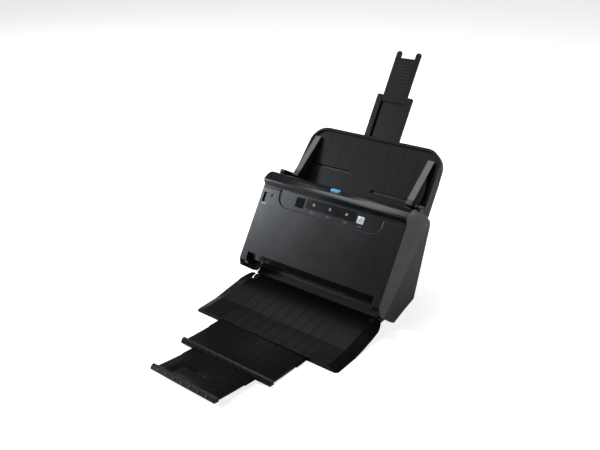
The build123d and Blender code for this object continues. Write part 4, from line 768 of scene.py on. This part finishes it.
def flange_and_foot(hand):
    """One on the flange past the block at its low end, and on the foot outside the web; zero on the web and
    the block, which take the painted shade.
    """
    along = np.array((0, math.cos(TRAY_SLOPE), math.sin(TRAY_SLOPE)))
    out = np.array((0, -math.sin(TRAY_SLOPE), math.cos(TRAY_SLOPE)))
    fall = (SHOULDER[1] - WEDGE_END[1]) / (WEDGE_END[0] - SHOULDER[0])
    top_line = out + fall * along
    flange_bottom = float(tray_point(0, SHOULDER[0], SHOULDER[1] - FLANGE_THICKNESS) @ top_line)
    block_end = float(tray_point(0, BLOCK_END, 0) @ along)
    foot_top = float(-tray_point(0, 0, FOOT_TOP) @ out)

    def choose(tree, place):
        flange = past(tree, share_along(tree, place, top_line), flange_bottom)
        past_block = past(tree, share_along(tree, place, along), block_end)
        foot = past(tree, share_along(tree, place, -out), foot_top)
        outside = past(tree, share_along(tree, place, (hand, 0, 0)), WEB_OUTSIDE * MM)
        return combined(tree, combined(tree, flange, past_block, "MULTIPLY"),
                        combined(tree, foot, outside, "MULTIPLY"), "MAXIMUM")
    return choose


# The near black is painted shade on the web and the block; the grey is the guide's own plastic.
for hand, name in ((-1, "guide_left"), (1, "guide_right")):
    give(name, two_shot(name + "_greys", (0.009, 0.009, 0.010), (0.085, 0.085, 0.087), 0.40,
                        flange_and_foot(hand)))
print("flange falls", round(SHOULDER[1] - WEDGE_END[1], 1), "mm along the guide")

# %% [markdown]
# The rear wall is held by four screws with a cross recess. A screw head is a dome, and the recess is a
# second term of the same function: the height drops wherever the point lies near one of two crossed
# lines. The rings of the grid go out and then down to the wall.

# %% Screws of the rear wall
SCREW_RADIUS, SCREW_HEIGHT, DOME = 3.2, 1.5, 0.45
CROSS_DEPTH, CROSS_HALF, CROSS_REACH = 0.9, 0.14, 0.62
SCREW_PLACES = ((-130, 12), (130, 12), (-130, 94), (130, 94))


def screw_head(name, place, centre, turn):
    """Dome height(1 - 0.45 r^2) less the cross's depth within its arms, then a side down to the wall."""
    ring = np.concatenate([np.linspace(0.02, 1.0, 15), [1.0]])
    angle = np.linspace(0, 2 * np.pi, 64, endpoint=False)
    radial, turned = np.meshgrid(ring, angle, indexing="ij")
    x, y = radial * np.cos(turned), radial * np.sin(turned)
    lift = SCREW_HEIGHT * (1 - DOME * radial**2)
    arm = np.clip((CROSS_HALF - np.minimum(np.abs(x), np.abs(y))) / 0.05, 0, 1)
    lift -= CROSS_DEPTH * arm * np.clip((CROSS_REACH - radial) / 0.08, 0, 1)
    lift[-1] = -0.2
    u = centre[0] + SCREW_RADIUS * (x * math.cos(turn) - y * math.sin(turn))
    v = centre[1] + SCREW_RADIUS * (x * math.sin(turn) + y * math.cos(turn))
    return grid_mesh(name, place(u, v, lift), wrap=True, cap=True)


screws = [screw_head(f"screw_{number}", rear_point, centre, turn=0.4 + number)
          for number, centre in enumerate(SCREW_PLACES)]
rear_screws = finished(merged("rear_screws", screws), "base", screw_steel)
print("rear screws faces:", len(rear_screws.data.polygons))

# %% [markdown]
# The rear wall has an inlet for the power supply beside the data socket. Two printed letters name the
# kind of current, as they do beside most such inlets.

# %% Letters beside the inlet
LETTERS_PLACE, LETTERS_SIZE = (10.0, 20.0), 3.6
letters = printed("word_dc", rear_point, "DC", LETTERS_PLACE, LETTERS_SIZE, INK)
finished(letters, "base", print_grey, smooth=False)
print("letters faces:", len(letters.data.polygons))

# %% [markdown]
# With the cover open the paper path shows. Opposite each scan glass lies a white strip, from which the
# sensor takes its measure of white. It is a thin plate on the guide plate, made as a stack of rounded
# outlines, with the last ones drawn in for the softly broken edge.

# %% White strips of the paper path
STRIP_SIZE, STRIP_CORNER, STRIP_EDGE = (228, 6.4), 0.6, 0.08
STRIPS = {"cover": (57.5, (-41.4, -41.72)), "base": (36.5, (-43.6, -43.28))}


def plate(name, place, centre, size, radius, levels, edge):
    """Rounded plate between two levels: outlines at the low level, below the edge, and drawn in above."""
    low, high = levels
    rings = []
    for inset, level in ((0, low), (0, high - edge), (0.3 * edge, high - 0.3 * edge), (edge, high)):
        x, y = rounded_outline(size[0] - 2 * inset, size[1] - 2 * inset, radius - inset)
        rings.append(place(centre[0] + x, centre[1] + y, level))
    return grid_mesh(name, np.array(rings), wrap=True, cap=True)


for body, (up, levels) in STRIPS.items():
    strip = plate(f"white_strip_{body}", face_point, (0, up), STRIP_SIZE, STRIP_CORNER, levels, STRIP_EDGE)
    finished(strip, body, calibration_white)
print("white strips:", len(STRIPS))

# %% [markdown]
# The scanner stands on a large pale floor. The floor shows as white to the camera, since its own glow
# is added for camera rays only, and it still keeps the soft shadow under the machine.

# %% Floor
FLOOR_HALF = 6.0
FLOOR_LIFT = 0.72


def studio_floor():
    """Large pale floor that shows white to the camera and keeps the object's shadow."""
    ends = (-FLOOR_HALF, FLOOR_HALF)
    floor = grid_mesh("floor", np.array([[(x, y, 0.0) for y in ends] for x in ends]))
    material, tree, shader, place = new_material("pale_floor")
    grain = noise_of(tree, place, 40.0, 3.0)
    tone = spread(tree, grain, 0.99, 1.01)
    tree.links.new(tinted(tree, (0.86, 0.86, 0.87), tone), shader.inputs["Base Color"])
    tree.links.new(spread(tree, grain, 0.85, 0.95), shader.inputs["Roughness"])
    shader.inputs["Specular IOR Level"].default_value = 0.0
    shader.inputs["Emission Color"].default_value = (1, 1, 1, 1)
    seen = tree.nodes.new("ShaderNodeLightPath")
    lift = tree.nodes.new("ShaderNodeMath")
    lift.operation = "MULTIPLY"
    lift.inputs[1].default_value = FLOOR_LIFT
    tree.links.new(seen.outputs["Is Camera Ray"], lift.inputs[0])
    tree.links.new(lift.outputs["Value"], shader.inputs["Emission Strength"])
    floor.data.materials.append(material)


studio_floor()
print("floor:", 2 * FLOOR_HALF, "m wide")

# %% [markdown]
# A soft lamp at the front left puts the bluish sheen on the left of the face, and one overhead lights
# the ridge. A low one behind on the right parts the cap's bevel from its side, and a weak one at the
# front right finds the left wall of the control field. The world is white to the camera and dim to
# everything else, which leaves black plastic black.

# %% Light
WORLD_LIGHT = 0.07
LAMPS = {
    "key_lamp": ((-2.19, -1.22, 1.28), (-0.08, 0, 0.12), 0.6, 60, (0.90, 0.95, 1.0)),
    "top_lamp": ((-0.9, 0.25, 2.3), (0, 0, 0.1), 1.8, 34, (1, 1, 1)),
    "bevel_lamp": ((1.9, 0.95, 0.3), (0.1, 0, 0.12), 0.8, 16, (1, 1, 1)),
    "front_lamp": ((1.75, -1.0, 0.8), (-0.05, 0, 0.15), 0.6, 9, (1, 1, 1)),
}


def soft_lamp(name, place, target, size, power, colour):
    """Square area lamp at a place, turned towards a target."""
    light = bpy.data.lights.new(name, "AREA")
    light.energy = power
    light.size = size
    light.color = colour
    lamp = bpy.data.objects.new(name, light)
    lamp.location = place
    direction = Vector(target) - Vector(place)
    lamp.rotation_euler = direction.to_track_quat("-Z", "Y").to_euler()
    bpy.context.collection.objects.link(lamp)


def white_world():
    """World that is white to the camera and dim to every other ray."""
    world = bpy.data.worlds.new("studio")
    bpy.context.scene.world = world
    world.use_nodes = True
    sky = world.node_tree.nodes["Background"]
    sky.inputs["Color"].default_value = (1, 1, 1, 1)
    rays = world.node_tree.nodes.new("ShaderNodeLightPath")
    bright = world.node_tree.nodes.new("ShaderNodeMapRange")
    bright.inputs["To Min"].default_value = WORLD_LIGHT
    bright.inputs["To Max"].default_value = 1.0
    world.node_tree.links.new(rays.outputs["Is Camera Ray"], bright.inputs["Value"])
    world.node_tree.links.new(bright.outputs["Result"], sky.inputs["Strength"])


for name, settings in LAMPS.items():
    soft_lamp(name, *settings)
white_world()
print("lamps:", len(LAMPS))

# %% [markdown]
# The picture is taken from the front right and above. The camera's place and lens come from fitting the
# machine's corners to the points where the photograph shows them, with loose guesses of its overall
# size. The camera looks along its own back axis, and its right and up axes are turned by the small roll
# of the photograph.

# %% Camera
CAMERA_AZIMUTH = math.radians(38.43)
CAMERA_ELEVATION = math.radians(24.87)
CAMERA_ROLL = math.radians(-0.86)
CAMERA_DISTANCE = 1.1559
CAMERA_SHIFT = (-0.008, 0.1405)
PHOTO_WIDTH = 600
FOCAL_PIXELS = 697.8
SENSOR = 36.0
NEAR_LIMIT = 0.01

camera_data = bpy.data.cameras.new("camera")
camera_data.sensor_width = SENSOR
camera_data.lens = FOCAL_PIXELS / PHOTO_WIDTH * SENSOR
camera_data.clip_start = NEAR_LIMIT
camera = bpy.data.objects.new("camera", camera_data)
bpy.context.collection.objects.link(camera)
back = Vector((math.sin(CAMERA_AZIMUTH) * math.cos(CAMERA_ELEVATION),
               -math.cos(CAMERA_AZIMUTH) * math.cos(CAMERA_ELEVATION), math.sin(CAMERA_ELEVATION)))
right = Vector((math.cos(CAMERA_AZIMUTH), math.sin(CAMERA_AZIMUTH), 0))
up = back.cross(right)
turned_right = right * math.cos(CAMERA_ROLL) + up * math.sin(CAMERA_ROLL)
turned_up = up * math.cos(CAMERA_ROLL) - right * math.sin(CAMERA_ROLL)
place = turned_right * CAMERA_SHIFT[0] + turned_up * CAMERA_SHIFT[1] + back * CAMERA_DISTANCE
place += Vector((0, Y_SHIFT * MM, 0))
turned = Matrix((turned_right, turned_up, back)).transposed().to_4x4()
camera.matrix_world = Matrix.Translation(place) @ turned
bpy.context.scene.camera = camera
bpy.context.scene.view_settings.view_transform = "Standard"
print("camera at", [round(value, 4) for value in place])
